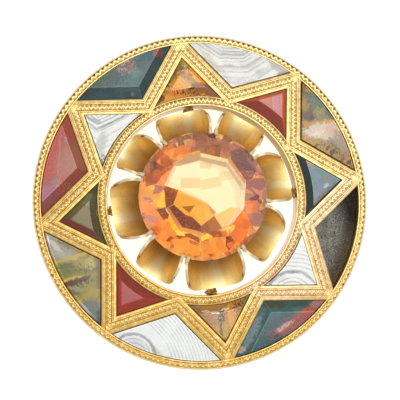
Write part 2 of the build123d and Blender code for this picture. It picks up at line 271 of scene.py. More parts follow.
class Paint:
    """The node tree of one finish."""

    def __init__(self, name):
        self.material = bpy.data.materials.new(name)
        self.material.use_nodes = True
        self.tree = self.material.node_tree
        self.tree.nodes.clear()

    def node(self, kind, settings=None, inputs=None):
        """Adds a node: its settings first, then the value or link of each input."""
        made = self.tree.nodes.new(kind)
        for key, value in (settings or {}).items():
            setattr(made, key, value)
        for key, value in (inputs or {}).items():
            socket = made.inputs[key]
            if isinstance(value, Field):
                value = value.socket
            if isinstance(value, bpy.types.NodeSocket):
                self.tree.links.new(value, socket)
            else:
                socket.default_value = value
        return made

    def vector(self, operation, *values):
        """Vector Math that gives a vector."""
        return self.node("ShaderNodeVectorMath", {"operation": operation}, dict(enumerate(values))).outputs[0]

    def measure(self, operation, *values):
        """Vector Math that gives a number."""
        made = self.node("ShaderNodeVectorMath", {"operation": operation}, dict(enumerate(values)))
        return Field(self, made.outputs["Value"])

    def place(self):
        """Object coordinates in millimetres."""
        return self.vector("MULTIPLY", self.node("ShaderNodeTexCoord").outputs["Object"], (1 / MM,) * 3)

    def parts(self, where):
        """The X, Y and Z of a vector or a colour."""
        made = self.node("ShaderNodeSeparateXYZ", {}, {0: where})
        return [Field(self, output) for output in made.outputs]

    def radius(self, where):
        """Distance from the brooch's upright middle line."""
        return self.measure("LENGTH", self.vector("MULTIPLY", where, (1.0, 1.0, 0.0)))

    def spot(self, where, x, y, turn, size):
        """Coordinates from the point (x, y), turned by turn degrees and divided by size."""
        return self.node("ShaderNodeMapping", {"vector_type": "TEXTURE"}, {
            "Vector": where, "Location": (x, y, 0.0), "Rotation": (0.0, 0.0, math.radians(turn)),
            "Scale": size}).outputs[0]

    def oval(self, where, x, y, turn, length, width):
        """0 on the upright middle line of an oval column, 1 on its wall."""
        return self.measure("LENGTH", self.spot(where, x, y, turn, (length / 2, width / 2, FLAT)))

    def noise(self, where, scale, detail, roughness=0.55):
        """Clouds from 0 to 1, scale of them to a millimetre."""
        made = self.node("ShaderNodeTexNoise", {}, {
            "Vector": where, "Scale": scale, "Detail": detail, "Roughness": roughness})
        return Field(self, made.outputs["Fac"])

    def warped(self, where, scale, amount):
        """Coordinates pushed to and fro by a noise, so that outlines on them get ragged."""
        colour = self.node("ShaderNodeTexNoise", {}, {"Vector": where, "Scale": scale, "Detail": 4.0})
        centred = self.vector("SUBTRACT", colour.outputs["Color"], (0.5, 0.5, 0.5))
        return self.vector("MULTIPLY_ADD", centred, (amount,) * 3, where)

    def furthest(self, where, directions):
        """The greatest dot product of a point with the directions."""
        first, *others = [self.measure("DOT_PRODUCT", where, direction) for direction in directions]
        for other in others:
            first = first.math("MAXIMUM", first, other)
        return first

    def cornered(self, where, sides):
        """The distance measured to straight sides, which face the azimuths given."""
        facings = [polar(1.0, azimuth) for azimuth in sides]
        return self.furthest(where, [(facing.real, facing.imag, 0.0) for facing in facings])

    def beyond(self, plane, corners):
        """
        How far a point lies outside a polygon: the greatest distance from the lines through its
        counterclockwise corners. A point is given as x, y and 1, so that each distance is a dot product.
        """
        lines = []
        for start, end in zip(corners, corners[1:] + corners[:1]):
            facing = (complex(*end) - complex(*start)) * -1j
            facing /= abs(facing)
            lines.append((facing.real, facing.imag, -dot(facing, complex(*start))))
        return self.furthest(plane, lines)

    def attribute(self, name):
        """A number that the mesh carries on its points."""
        return Field(self, self.node("ShaderNodeAttribute", {"attribute_name": name}).outputs["Fac"])

    def tint(self, name):
        """A colour that the mesh carries on its faces."""
        return self.node("ShaderNodeAttribute", {"attribute_name": name}).outputs["Color"]

    def lay(self, stretch):
        """The piece's own map, millimetres along and across it, divided by stretch."""
        made = self.node("ShaderNodeUVMap", {"uv_map": "lay"})
        return self.vector("DIVIDE", made.outputs[0], stretch)

    def mix(self, first, second, factor, blend="MIX"):
        """The first colour where the factor is 0, and the second, blended with it, where it is 1."""
        made = self.node("ShaderNodeMix", {"data_type": "RGBA", "blend_type": blend},
                         {0: factor, 6: rgba(first), 7: rgba(second)})
        return made.outputs[2]

    def coats(self, ground, *coats):
        """Coats over a ground, each a colour and how much of it covers what lies below."""
        for colour, cover in coats:
            ground = self.mix(ground, colour, cover)
        return ground

    def bump(self, height, distance):
        """A normal bent by a height, where a height of 1 is the distance in millimetres."""
        made = self.node("ShaderNodeBump", {}, {"Height": height, "Distance": distance * MM})
        return made.outputs[0]

    def shader(self, **inputs):
        """A Principled shader with its values."""
        names = {key.replace("_", " ").title().replace("Ior", "IOR"): value for key, value in inputs.items()}
        return self.node("ShaderNodeBsdfPrincipled", {}, names).outputs[0]

    def output(self, **links):
        """Joins the surface, and the volume if there is one, to the output, and returns the material."""
        self.node("ShaderNodeOutputMaterial", {}, {key.title(): link for key, link in links.items()})
        return self.material

    def finish(self, **inputs):
        """A finish of one Principled shader."""
        return self.output(surface=self.shader(**inputs))


def rgba(colour):
    """A colour as a shader socket takes it, from a screen colour's code or its numbers; a link passes."""
    if isinstance(colour, (bpy.types.NodeSocket, Field)):
        return colour
    return (*(hue(colour) if isinstance(colour, str) else colour), 1.0)


def hue(code):
    """The linear colour of a six-digit screen colour."""
    shares = [int(code[i:i + 2], 16) / 255 for i in (1, 3, 5)]
    return tuple(s / 12.92 if s <= 0.04045 else ((s + 0.055) / 1.055) ** 2.4 for s in shares)


# Surfaces

class Shell(NamedTuple):
    """A closed surface: points, four-sided faces, end polygons, and each point's cut and lay."""
    points: np.ndarray
    faces: np.ndarray
    caps: list
    cut: np.ndarray
    lay: np.ndarray


def quads(rows, columns, close_rows):
    """
    The faces between neighbours of a grid of points. It is joined round along its columns, and along its
    rows where they are closed.
    """
    i, j = np.meshgrid(np.arange(rows - (not close_rows)), np.arange(columns), indexing="ij")
    i_next, j_next = (i + 1) % rows, (j + 1) % columns
    corners = [i * columns + j, i_next * columns + j, i_next * columns + j_next, i * columns + j_next]
    return np.stack(corners, axis=-1).reshape(-1, 4)


def volume_of(points, polygons):
    """Signed volume: the sum of the pyramids from the origin to each fan triangle of the polygons."""
    total = 0.0
    for k in range(1, polygons.shape[1] - 1):
        a, b, c = points[polygons[:, 0]], points[polygons[:, k]], points[polygons[:, k + 1]]
        total += np.einsum("ij,ij->", a, np.cross(b, c)) / 6
    return total


def make_piece(name, shells, node, material, sharp=35.0, soft_edge=None, shades=None):
    """
    One mesh of shells, each turned so that its signed volume is above 0, which stands for a CAD node. Edges
    that turn by more than the sharp angle, in degrees, stay crisp or get the soft edge's rounding.
    """
    polygons, start = [], 0
    for shell in shells:
        turn = volume_of(shell.points, shell.faces)
        turn += sum(volume_of(shell.points, np.array([cap])) for cap in shell.caps)
        way = 1 if turn > 0 else -1
        polygons += (shell.faces[:, ::way] + start).tolist()
        polygons += [[start + k for k in cap[::way]] for cap in shell.caps]
        start += len(shell.points)
    mesh = bpy.data.meshes.new(name)
    points = np.concatenate([shell.points for shell in shells]) * MM
    mesh.from_pydata(points, [], polygons)
    mesh.attributes.new("cut", "FLOAT", "POINT").data.foreach_set(
        "value", np.concatenate([shell.cut for shell in shells]).astype(np.float32))
    lay = np.concatenate([shell.lay for shell in shells])
    corner = np.empty(len(mesh.loops), dtype=np.int32)
    mesh.loops.foreach_get("vertex_index", corner)
    mesh.uv_layers.new(name="lay").data.foreach_set("uv", lay[corner].astype(np.float32).ravel())
    if shades is not None:
        tints = np.ones((len(shades), 4), dtype=np.float32)
        tints[:, :3] = shades
        mesh.attributes.new("shade", "FLOAT_COLOR", "FACE").data.foreach_set("color", tints.ravel())
    mesh.shade_smooth()
    mesh.set_sharp_from_angle(angle=math.radians(sharp))
    mesh.validate()
    mesh.update()
    piece = bpy.data.objects.new(name, mesh)
    bpy.context.scene.collection.objects.link(piece)
    mesh.materials.append(material)
    if soft_edge:
        bevel = piece.modifiers.new("polished edge", "BEVEL")
        bevel.width, bevel.segments = soft_edge, 2
        bevel.limit_method, bevel.angle_limit = "ANGLE", math.radians(sharp)
        bevel.harden_normals = True
    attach(piece, "root")
    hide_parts(node)


def end_polygons(rows, columns, way):
    """
    The flat polygons on the first and the last row of a grid. They run round as the grid's faces do where
    the way is 1, and against them where it is -1.
    """
    first, last = list(range(columns)), list(range((rows - 1) * columns, rows * columns))
    return [first[::way], last[::-way]]


def shell_of(grid, cut=0.0, lay=None, close_rows=False, caps=()):
    """A shell from a grid of points, with its end polygons."""
    rows, columns = grid.shape[:2]
    count = rows * columns
    lay = np.zeros((count, 2)) if lay is None else lay.reshape(count, 2)
    return Shell(grid.reshape(-1, 3), quads(rows, columns, close_rows), list(caps),
                 np.broadcast_to(cut, (rows, columns)).ravel(), lay)


def space(plan, z):
    """Points from plan positions as complex numbers and heights."""
    plan, z = np.broadcast_arrays(plan, z)
    return np.stack([plan.real, plan.imag, z], axis=-1)


# A profile is an array of rows: distance, height, place across the engraved strip or NAN, cut

STRIP_POINTS = 9                           # across an engraved strip, for its relief
LINE_HALF, LINE_DEPTH = 0.05, 0.07         # of the fine V lines beside the strips


def engraved_profile(low, high, z_low, z_face, middle, half, lines, edge, film=0.6):
    """
    A closed section: two walls, rounded edges, a flat face with the engraved strip, which is sampled across
    for its relief, and fine V lines at the given distances from the strip's edges, less than 0 before it
    and more behind it. Film is the tarnish in the lines.
    """
    wall = [(0.0, z_low), (0.0, z_face - edge), (edge * 0.3, z_face - edge * 0.3), (edge, z_face)]
    face = [(middle + half * v, z_face, v, 0.0) for v in np.linspace(-1, 1, STRIP_POINTS)]
    for line in lines:
        place = middle + math.copysign(half, line) + line
        face += [(place - LINE_HALF, z_face, NAN, 0.0), (place, z_face - LINE_DEPTH, NAN, film),
                 (place + LINE_HALF, z_face, NAN, 0.0)]
    return np.array([(low + r, z, NAN, 0.0) for r, z in wall] + sorted(face, key=lambda row: row[0])
                    + [(high - r, z, NAN, 0.0) for r, z in wall[::-1]])


# The swing of the bright ribbon, its half width and the fall beside it, as shares of the strip's half width
RIBBON_SWING, RIBBON_HALF, RIBBON_FALL = 0.62, 0.3, 0.75


def notches(phase, across):
    """
    Depth of the engraving, 0 to 1. A bright ribbon swings from side to side once a period as a triangle
    wave, and the ground falls away with the distance from it, so a deep notch is left in every bend.
    """
    swing = 1 - 4 * np.abs(phase % 1.0 - 0.5)
    gap = np.abs(across - RIBBON_SWING * swing)
    rise = np.clip((gap - RIBBON_HALF) / RIBBON_FALL, 0, 1)
    return np.where(np.isnan(across), 0.0, rise * rise * (3 - 2 * rise))


def strip_cut(carved, across):
    """The strip's cut value: 1 in the notches, and down to -1 on the raised ribbon by a fourth power, for its
    painted highlight.
    """
    return np.where(np.isnan(across), 0.0, carved - (1 - carved) ** 4)


def revolved(profile, steps, centre=0j, periods=0, depth=0.0, films=(1.0, 1.0)):
    """
    A profile carried round an upright axis: the point at turn a is the centre plus its distance times
    (cos a, sin a), at its height less the notches' depth. The films are the tarnish in the notches on the
    inner and the outer side of the strip.
    """
    turn = np.arange(steps)[:, None] / steps
    distance, height, across, cut = profile.T[:, None, :]
    carved = np.nan_to_num(notches(turn * periods, across)) if periods else np.zeros((steps, 1))
    plan = centre + distance * np.exp(2j * np.pi * turn)
    z = height - depth * carved
    film = strip_cut(carved, across) * np.where(across > 0, films[1], films[0])
    lay = np.stack([np.broadcast_to(turn * 2 * np.pi * distance.mean(), z.shape),
                    np.broadcast_to(distance, z.shape)], axis=-1)
    return shell_of(space(plan, z), cut + film, lay, close_rows=True)


def plain_profile(low, high, z_low, z_high, edge):
    """A rectangular section with small chamfers."""
    corners = [(low + edge, z_low), (low, z_low + edge), (low, z_high - edge), (low + edge, z_high),
               (high - edge, z_high), (high, z_high - edge), (high, z_low + edge), (high - edge, z_low)]
    return np.array([(r, z, NAN, 0.0) for r, z in corners])


NOTCH_FADE = 0.5     # length over which the star's notches run out


def mitred(profile, corners, steps, pitch, depth, reach, plain, film):
    """
    A profile carried round a closed polygon. At a corner the sections lean on the mitre, which is the sum
    of the two sides' normals over one plus their dot product, and between corners they are blended in a
    straight line. Points past the reach are drawn in to it, under the rim, and the notches run out at the
    plain distance from the middle.
    """
    ahead = np.roll(corners, -1)
    along = (ahead - corners) / np.abs(ahead - corners)
    normal = along * -1j
    before = np.roll(normal, 1)
    mitre = (before + normal) / (1 + (before.conj() * normal).real)
    t = np.arange(steps)[None, :, None] / steps
    distance, height, across, cut = profile.T[:, None, None, :]
    start = corners[:, None, None] + distance * mitre[:, None, None]
    end = ahead[:, None, None] + distance * np.roll(mitre, -1)[:, None, None]
    plan = start + (end - start) * t
    run = ((plan - corners[:, None, None]) * along[:, None, None].conj()).real
    whole = np.abs(ahead - corners)[:, None, None]
    carved = np.nan_to_num(notches(run / whole * np.round(whole / pitch), across))
    radius = np.abs(plan)
    shown = np.clip((plain - radius) / NOTCH_FADE, 0, 1)
    cut = cut + strip_cut(carved, across) * film * shown
    plan = plan * np.minimum(1.0, reach / radius)
    z = height - depth * carved * shown

    def rowwise(values):
        """One row for each section, all round the polygon."""
        return np.broadcast_to(values, z.shape).reshape(len(corners) * steps, -1)

    lay = np.stack([rowwise(run), rowwise(distance)], axis=-1)
    return shell_of(space(rowwise(plan), rowwise(z)), rowwise(cut), lay, close_rows=True)


def sheet(surface, thickness, lay, cut):
    """
    A closed shell round a grid of points: each is moved half the thickness both ways along the normal,
    the cross product of the grid's two directions, and the two skins are joined all round.
    """
    normal = np.cross(np.gradient(surface, axis=0), np.gradient(surface, axis=1))
    normal /= np.linalg.norm(normal, axis=-1, keepdims=True)
    skins = [surface + normal * thickness / 2, (surface - normal * thickness / 2)[:, ::-1]]
    ring = np.concatenate(skins, axis=1)
    rows, columns = ring.shape[:2]
    j = np.arange(columns // 2 - 1)
    end = np.stack([j, j + 1, columns - 2 - j, columns - 1 - j], axis=-1)
    cut, lay = (np.concatenate([values, values[:, ::-1]], axis=1) for values in (cut, lay))
    made = shell_of(ring, cut, lay)
    faces = np.concatenate([made.faces, end, (end + (rows - 1) * columns)[:, ::-1]])
    return made._replace(faces=faces)


BALL_ROWS, BALL_COLUMNS = 16, 28
BALL_POLE = 0.06     # angle in radians at which a ball's end polygons lie


def ball(centre, out, radii, seed, ragged):
    """
    A lumpy ellipsoid: centre plus radii times the unit sphere's point, stretched by waves in its angles and
    turned so that its first radius lies along out, with an end polygon at each pole.
    """
    tilt = np.linspace(BALL_POLE, np.pi - BALL_POLE, BALL_ROWS)[:, None]
    turn = np.linspace(0, 2 * np.pi, BALL_COLUMNS, endpoint=False)[None, :]
    lump = 1 + ragged * (np.sin(3 * turn + seed) * np.sin(2 * tilt + 2 * seed)
                         + 0.6 * np.sin(5 * turn - seed) * np.sin(4 * tilt))
    plan = out * (radii[0] * np.cos(turn) + 1j * radii[1] * np.sin(turn)) * np.sin(tilt) * lump
    grid = space(complex(*centre[:2]) + plan, centre[2] + radii[2] * np.cos(tilt) * lump)
    return shell_of(grid, caps=end_polygons(BALL_ROWS, BALL_COLUMNS, -1))


# The cells of the star

def polar(radius, azimuth):
    """The point at a distance and an azimuth in degrees, as a complex number."""
    return cmath.rect(radius, math.radians(azimuth))


def dot(u, v):
    """Dot product of two plan directions."""
    return (u.conjugate() * v).real


def moved_line(a, b, inside, distance):
    """The line through a and b, moved towards the point inside, as a point and a unit direction."""
    along = (b - a) / abs(b - a)
    normal = along * 1j if dot(along * 1j, inside - a) > 0 else along * -1j
    return a + normal * distance, along


def meet(line, other):
    """Where two lines cross."""
    (p, u), (q, v) = line, other
    return p + u * ((q - p).conjugate() * v).imag / (u.conjugate() * v).imag


def meet_circle(line, radius, near):
    """Where a line crosses the circle round the origin, on the side of the point near."""
    p, u = line
    half = math.sqrt(dot(p, u) ** 2 - abs(p) ** 2 + radius ** 2)
    ends = [p - u * (dot(p, u) + half), p - u * (dot(p, u) - half)]
    return min(ends, key=lambda end: abs(end - near))


TIPS = [polar(row.tip_reach * RIM_INNER, row.tip_azimuth) for row in STAR]
ROOTS = [polar(row.root_reach * RING_OUTER, row.root_azimuth) for row in STAR]


def cell_corners(cell, point, insets=(0.0, 0.0, 0.0)):
    """
    The corners of what lies in a cell, with the clearance and its bevels' insets all round: the start of
    its arc, its third corner and the arc's end, and then the arc's radius.
    """
    index = [row.name for row in STAR].index(point)
    first, second, curved = (inset + CLEARANCE for inset in insets)
    if cell == "outer":
        a, b, c = TIPS[index], ROOTS[index], TIPS[(index + 1) % len(STAR)]
        edge, radius = RIM_INNER, RIM_INNER - curved
    else:
        a, b, c = ROOTS[index - 1], TIPS[index], ROOTS[index]
        edge, radius = RING_OUTER, RING_OUTER + curved
    inside = b / abs(b) * edge
    first_side = moved_line(a, b, inside, STAR_BAND / 2 + first)
    second_side = moved_line(b, c, inside, STAR_BAND / 2 + second)
    return (meet_circle(first_side, radius, a), meet(first_side, second_side),
            meet_circle(second_side, radius, c), radius)


def arc(start, end, radius, count):
    """Points on the circle round the origin, from start to just before end."""
    sweep = cmath.phase(end / start)
    return radius * np.exp(1j * (cmath.phase(start) + sweep * np.arange(count) / count))


ARC_STEPS = 48                     # points along a flat stone's curved side
WALL_TINT = (0.46, 0.34, 0.2)      # painted shade of the narrow gap round the stones, brown as the old cement there


def slab_shell(slab):
    """
    A flat stone: an upright outline, then bevels that draw it in to the table, with a narrow ridge before
    it; flat polygons close it.
    """
    bevels = [share * BEVEL_WIDTH for share in (slab.first, slab.second, slab.curved)]
    ridge = [width - RIDGE_WIDTH for width in bevels]
    levels = [((0, 0, 0), Z_BED + CLEARANCE), ((0, 0, 0), Z_FACE - BEVEL_DROP),
              (ridge, Z_FACE + TABLE_RISE - RIDGE_DROP), (bevels, Z_FACE + TABLE_RISE)]
    rows = []
    for insets, z in levels:
        start, corner, end, radius = cell_corners(slab.cell, slab.point, insets)
        rows.append(space(np.concatenate([[start, corner], arc(end, start, radius, ARC_STEPS)]), z))
    return shell_of(np.array(rows), caps=end_polygons(len(rows), 2 + ARC_STEPS, -1))


def slab_shades(shades, ridge):
    """The painted light and shade of each face of a flat stone, as a tint: its walls, bevels and ridge round
    it, then base and table.
    """
    bevels = [shade if isinstance(shade, tuple) else (shade,) * 3 for shade in shades]
    edges = [tuple((part + 1) / 2 * ridge for part in shade) for shade in bevels]
    tints = [WALL_TINT] * (2 + ARC_STEPS)
    for first, second, curved in (bevels, edges):
        tints += [first, second] + [curved] * ARC_STEPS
    return tints + [WALL_TINT, (1.0, 1.0, 1.0)]


WAVE_TURN, WAVE_CROSSING = 2.4, 0.7           # radians between two layers, and off square within one
WAVE_GROWTH, WAVE_WEAKENING = 1.9, 0.72       # of the pitch and the height from layer to layer


def waves(x, y, seed, layers, pitch):
    """
    A rough height from -1 to 1: layers of crossed sines, each in another direction, finer and weaker than
    the one before. The pitch is in radians per millimetre.
    """
    total, weight, norm = 0.0, 1.0, 0.0
    for k in range(layers):
        a = seed + WAVE_TURN * k
        b = a + WAVE_CROSSING
        total += weight * (np.sin(pitch * (x * np.cos(a) + y * np.sin(a)) + 1.7 * seed + k)
                           * np.sin(pitch * (y * np.cos(b) - x * np.sin(b)) + 3.1 * k))
        norm += weight
        weight *= WAVE_WEAKENING
        pitch *= WAVE_GROWTH
    return total / norm


CEMENT_SIDE, CEMENT_ARC, CEMENT_RINGS = 60, 110, 60     # points on a side, on the arc and on a ray
CEMENT_DIP = 0.28                                       # of the rough face under the cement's highest point
CEMENT_ROUGH, CEMENT_GRAIN, CEMENT_RISE = 0.22, 0.06, 0.3


def cement_shell():
    """
    The cement: from a point inside the cell a fan of rays runs to its outline. Its top is the cement's
    height plus rough waves and fine grain, and creeps up at the walls.
    """
    start, corner, end, radius = cell_corners(*EMPTY_CELL)
    side = np.linspace(0, 1, CEMENT_SIDE, endpoint=False)
    outline = np.concatenate([start + (corner - start) * side, corner + (end - corner) * side,
                              arc(end, start, radius, CEMENT_ARC)])
    middle = outline.mean()
    share = np.linspace(0.02, 1.0, CEMENT_RINGS)[:, None]
    plan = middle + (outline - middle) * share
    rough = CEMENT_ROUGH * waves(plan.real, plan.imag, 0.4, 5, 0.9)
    grain = CEMENT_GRAIN * waves(plan.real, plan.imag, 2.0, 3, 9.0)
    z = CEMENT_HIGH[2] - CEMENT_DIP + rough + grain + CEMENT_RISE * share ** 6
    bottom = space(outline, CEMENT_LOW[2])[None]
    return shell_of(np.concatenate([space(plan, z), bottom]),
                    caps=end_polygons(CEMENT_RINGS + 1, len(outline), 1))


# The collet

FOOT_RADIUS, FOOT_WALL, FOOT_HEIGHT = 5.0, 0.8, 2.3
SLIT, CUSP_GAP = 0.35, 0.36        # between two petals, and between the girdle and the petals' cusps
CLAW_WIDTH, CLAW_THICKNESS = 0.55, 0.4
CLAW_LIFT = 0.28                   # of a claw's seat over the girdle
CLAW_TAPER = 0.12                  # share of its width that a claw loses
CLAW_ROWS, CLAW_COLUMNS = 12, 5
PETAL_ROWS, PETAL_COLUMNS = 56, 45
PETAL_LAY_STEP = 20.0              # moves the pattern from petal to petal
FOOT_INSET = 0.2                   # of the petals' lower ends, from the ring's outside and the ground


class Station(NamedTuple):
    """A U-shaped section of a petal, with its distances from the citrine's upright middle line."""
    floor: float
    z_floor: float
    top: float            # of the flanks' tops
    z_top: float
    width: float          # half width at the flanks' tops
    azimuth: float        # off the middle between its slits
    square: float         # exponent of the superellipse: 2 is an ellipse, more is squarer


def petal_shell(index, thickness):
    """
    A petal. Three stations, at the foot, the waist and the end, and the quadratic through them gives every
    section between. Across, the U is a superellipse: |x| ** n + |1 - h| ** n = 1 with x from -1 to 1.
    """
    petal = PETALS[index]
    span = (PETALS[(index + 1) % len(PETALS)].slit_azimuth - petal.slit_azimuth) % 360
    half, middle = math.radians(span / 2), petal.slit_azimuth + span / 2
    cusp, foot = GIRDLE_RADIUS + CUSP_GAP, FOOT_RADIUS - FOOT_INSET
    end = petal.reach * OPENING_RADIUS
    turn = (petal.end_azimuth - middle + 180) % 360 - 180
    lift = thickness / 2
    foot_half, waist_half = (r * math.sin(half) - SLIT / 2 - lift for r in (foot, cusp))
    stations = np.array([
        Station(floor=foot * math.cos(half) + FOOT_INSET, z_floor=FOOT_INSET + lift,
                top=foot * math.cos(half), z_top=2.1, width=foot_half, azimuth=0.0, square=2.0),
        Station(floor=cusp * math.cos(half) + 1.4, z_floor=Z_GIRDLE - 5.6 + lift,
                top=cusp * math.cos(half), z_top=Z_GIRDLE - 0.15, width=waist_half, azimuth=0.0, square=2.3),
        Station(floor=end, z_floor=Z_FACE - thickness + lift, top=end - 1.1, z_top=Z_FACE + 1.2,
                width=waist_half * petal.flare + 0.05, azimuth=turn, square=3.0),
    ])
    u = np.linspace(0, 1, PETAL_ROWS)[:, None]
    weights = [(1 - u) * (1 - 2 * u), 4 * u * (1 - u), u * (2 * u - 1)]
    floor, z_floor, top, z_top, width, azimuth, square = sum(
        w * s for w, s in zip(weights, stations)).T[:, :, None]
    angle = np.linspace(-np.pi / 2, np.pi / 2, PETAL_COLUMNS)[None, :]
    x = np.sign(np.sin(angle)) * np.abs(np.sin(angle)) ** (2 / square)
    h = 1 - np.abs(np.cos(angle)) ** (2 / square)
    out = np.exp(1j * np.radians(middle + azimuth))
    plan = CENTRE + out * (floor + (top - floor) * h) + out * 1j * width * x
    z = z_floor + (z_top - z_floor) * h
    lay = np.stack(np.broadcast_arrays(floor + PETAL_LAY_STEP * index, width * angle - petal.shine), axis=-1)
    return sheet(space(plan, z), thickness, lay, petal_shade_and_highlight(u + 0 * angle))


def petal_shade_and_highlight(u):
    """The cut value of a petal: painted shade towards the foot, down under the stone, and a painted highlight
    along its free edges.
    """
    cut = 0.8 * np.clip((0.62 - u) / 0.2, 0, 1)
    cut[:, [0, -1]] = -1.0
    cut[-1] = -1.0
    return cut


def claw_shell(azimuth, side):
    """A claw: a strip along a quadratic curve, up beside its slit and in over the girdle."""
    turn = math.degrees(side * (SLIT + CLAW_WIDTH) / 2 / GIRDLE_RADIUS)
    out = polar(1.0, azimuth + turn)
    z_seat = Z_GIRDLE + GIRDLE_THICKNESS + CLAW_LIFT
    # distance and height of its foot, of the point that draws the curve out and of its end
    ends = np.array([(GIRDLE_RADIUS + 0.75, Z_GIRDLE - 0.9), (GIRDLE_RADIUS + 0.45, z_seat + 0.25),
                     (GIRDLE_RADIUS - 0.5, z_seat + 0.72)])
    t = np.linspace(0, 1, CLAW_ROWS)[:, None]
    r, z = ((1 - t) ** 2 * ends[0] + 2 * t * (1 - t) * ends[1] + t ** 2 * ends[2]).T[:, :, None]
    across = np.linspace(-1, 1, CLAW_COLUMNS)[None, :] * CLAW_WIDTH / 2 * (1 - CLAW_TAPER * t)
    surface = space(CENTRE + out * (r + 1j * across), z + 0 * across)
    lay = np.stack(np.broadcast_arrays(r, across), axis=-1)
    # a cut of -1 gives the claws the pale painted highlight of the petals' edges
    return sheet(surface, CLAW_THICKNESS, lay, np.full(across.shape, -1.0))


SOLDER_BITE, SOLDER_DROP = 0.12, 0.3           # into both neighbours, and under the ring's face
SOLDER_SPREAD, SOLDER_LUMPS = 0.26, 0.35       # along the ring, and the share that the waves add


def solder_shell(petal, seed):
    """The solder between a petal's end and the ring, as a lump on the line where they are nearest."""
    end_middle = CENTRE + polar(petal.reach * OPENING_RADIUS, petal.end_azimuth)
    out = polar(1.0, petal.solder_azimuth)
    petal_end = meet((0j, out), (end_middle, polar(1.0, petal.end_azimuth + 90)))
    gap = OPENING_RADIUS - abs(petal_end)
    place = petal_end + out * gap / 2
    radius = gap / 2 + SOLDER_BITE
    return ball((place.real, place.imag, Z_FACE - radius - SOLDER_DROP), out,
                (radius, radius + SOLDER_SPREAD, radius), seed, SOLDER_LUMPS)


# Finishes

def gold_finish(colours, name):
    """
    Gold, paler towards the top and the right as painted light, rosier at the lower right, with orange clouds
    and painted highlight clouds on the face and duller, smoother gold on the sides and the back. The cuts
    carry an orange film, worn off in places and brown where it is thick, and the raised ribbon, a cream patch
    on the right and the outer edge carry painted highlights. The upright wall of the opening carries a
    painted reflection of the pale floor, with painted shade towards the upper right.
    """
    paint = Paint(name)
    where = paint.place()
    x, y, z = paint.parts(where)
    reach = paint.radius(where)
    cloud = paint.noise(where, 0.35, 4)
    blotch = paint.noise(where, 1.2, 4, 0.6)
    grain = paint.noise(where, 5.0, 4, 0.65)
    scratches = paint.noise(paint.spot(where, 0.0, 0.0, 25, (0.3, 1.0, 1.0)), 14.0, 3)
    front = (z - Z_FACE + 0.7).step(0.0, 0.3, 0.85) + 0.15
    cut = paint.attribute("cut") * (blotch * 1.6 + y * 0.013).step(0.2, 1.1, 1.45)
    film = (cut * 1.3 + grain * 0.5 - 0.3).step(0.0, 0.7)
    shaded = (y * 0.05 + x * 0.04 + blotch * 0.6).step(0.75, 1.2)
    colour = paint.coats(
        colours.gold,
        # painted light: paler towards the top and the right, where the light falls
        (colours.lit_pale_gold, (y * 0.025 + x * 0.012 + cloud * 0.8 + 0.05).step(0.0, 1.0)),
        (colours.rosy_gold, paint.oval(where, 14.5, -11.0, 30, 18.0, 14.0).step(1.3, 0.7, 0.85)),
        # painted highlight: a cream patch on the right
        ("#F4DDB6", paint.oval(where, 21.0, -0.6, 46, 14.0, 5.2).step(1.2, 0.7, 0.8)),
        (colours.orange_gold, (blotch * 1.7 + grain * 0.9 - 1.15).step(0.0, 0.6, 0.6) * front),
        # painted highlights: bright clouds on the face
        (colours.bright_gold, (1.45 - blotch * 1.7 - grain * 0.9).step(0.1, 0.7, 0.7) * front),
        ("#B08A48", (cloud * 1.6 + blotch * 0.4 - 0.5).step(0.2, 0.8, 0.7) * (1.0 - front)),
        (colours.orange_gold, film * 0.9),
        (colours.tarnish, (cut * 1.2 + grain * 0.5 + blotch * 0.9 - 1.0).step(0.0, 0.6, 0.92)),
        # painted highlight on the raised ribbon, where cut is below 0
        (colours.bright_gold, (grain * 0.3 - cut).step(0.25, 0.75, 0.75)),
        # painted highlight along the rim's outer edge
        ("#FFF3D0", (reach - RIM_RADIUS).step(-0.37, -0.31, 0.8) * front),
        # painted reflection of the pale floor on the opening's wall, with painted shade towards the upper
        # right
        (paint.mix("#CBC4C0", "#967C58", shaded), (reach - OPENING_RADIUS).absolute().step(0.03, 0.005, 0.9)))
    return paint.finish(
        base_color=colour, metallic=1.0, roughness=0.26 + grain * 0.2 + film * 0.2,
        normal=paint.bump(scratches * 0.35 + grain * 0.6, 0.012))


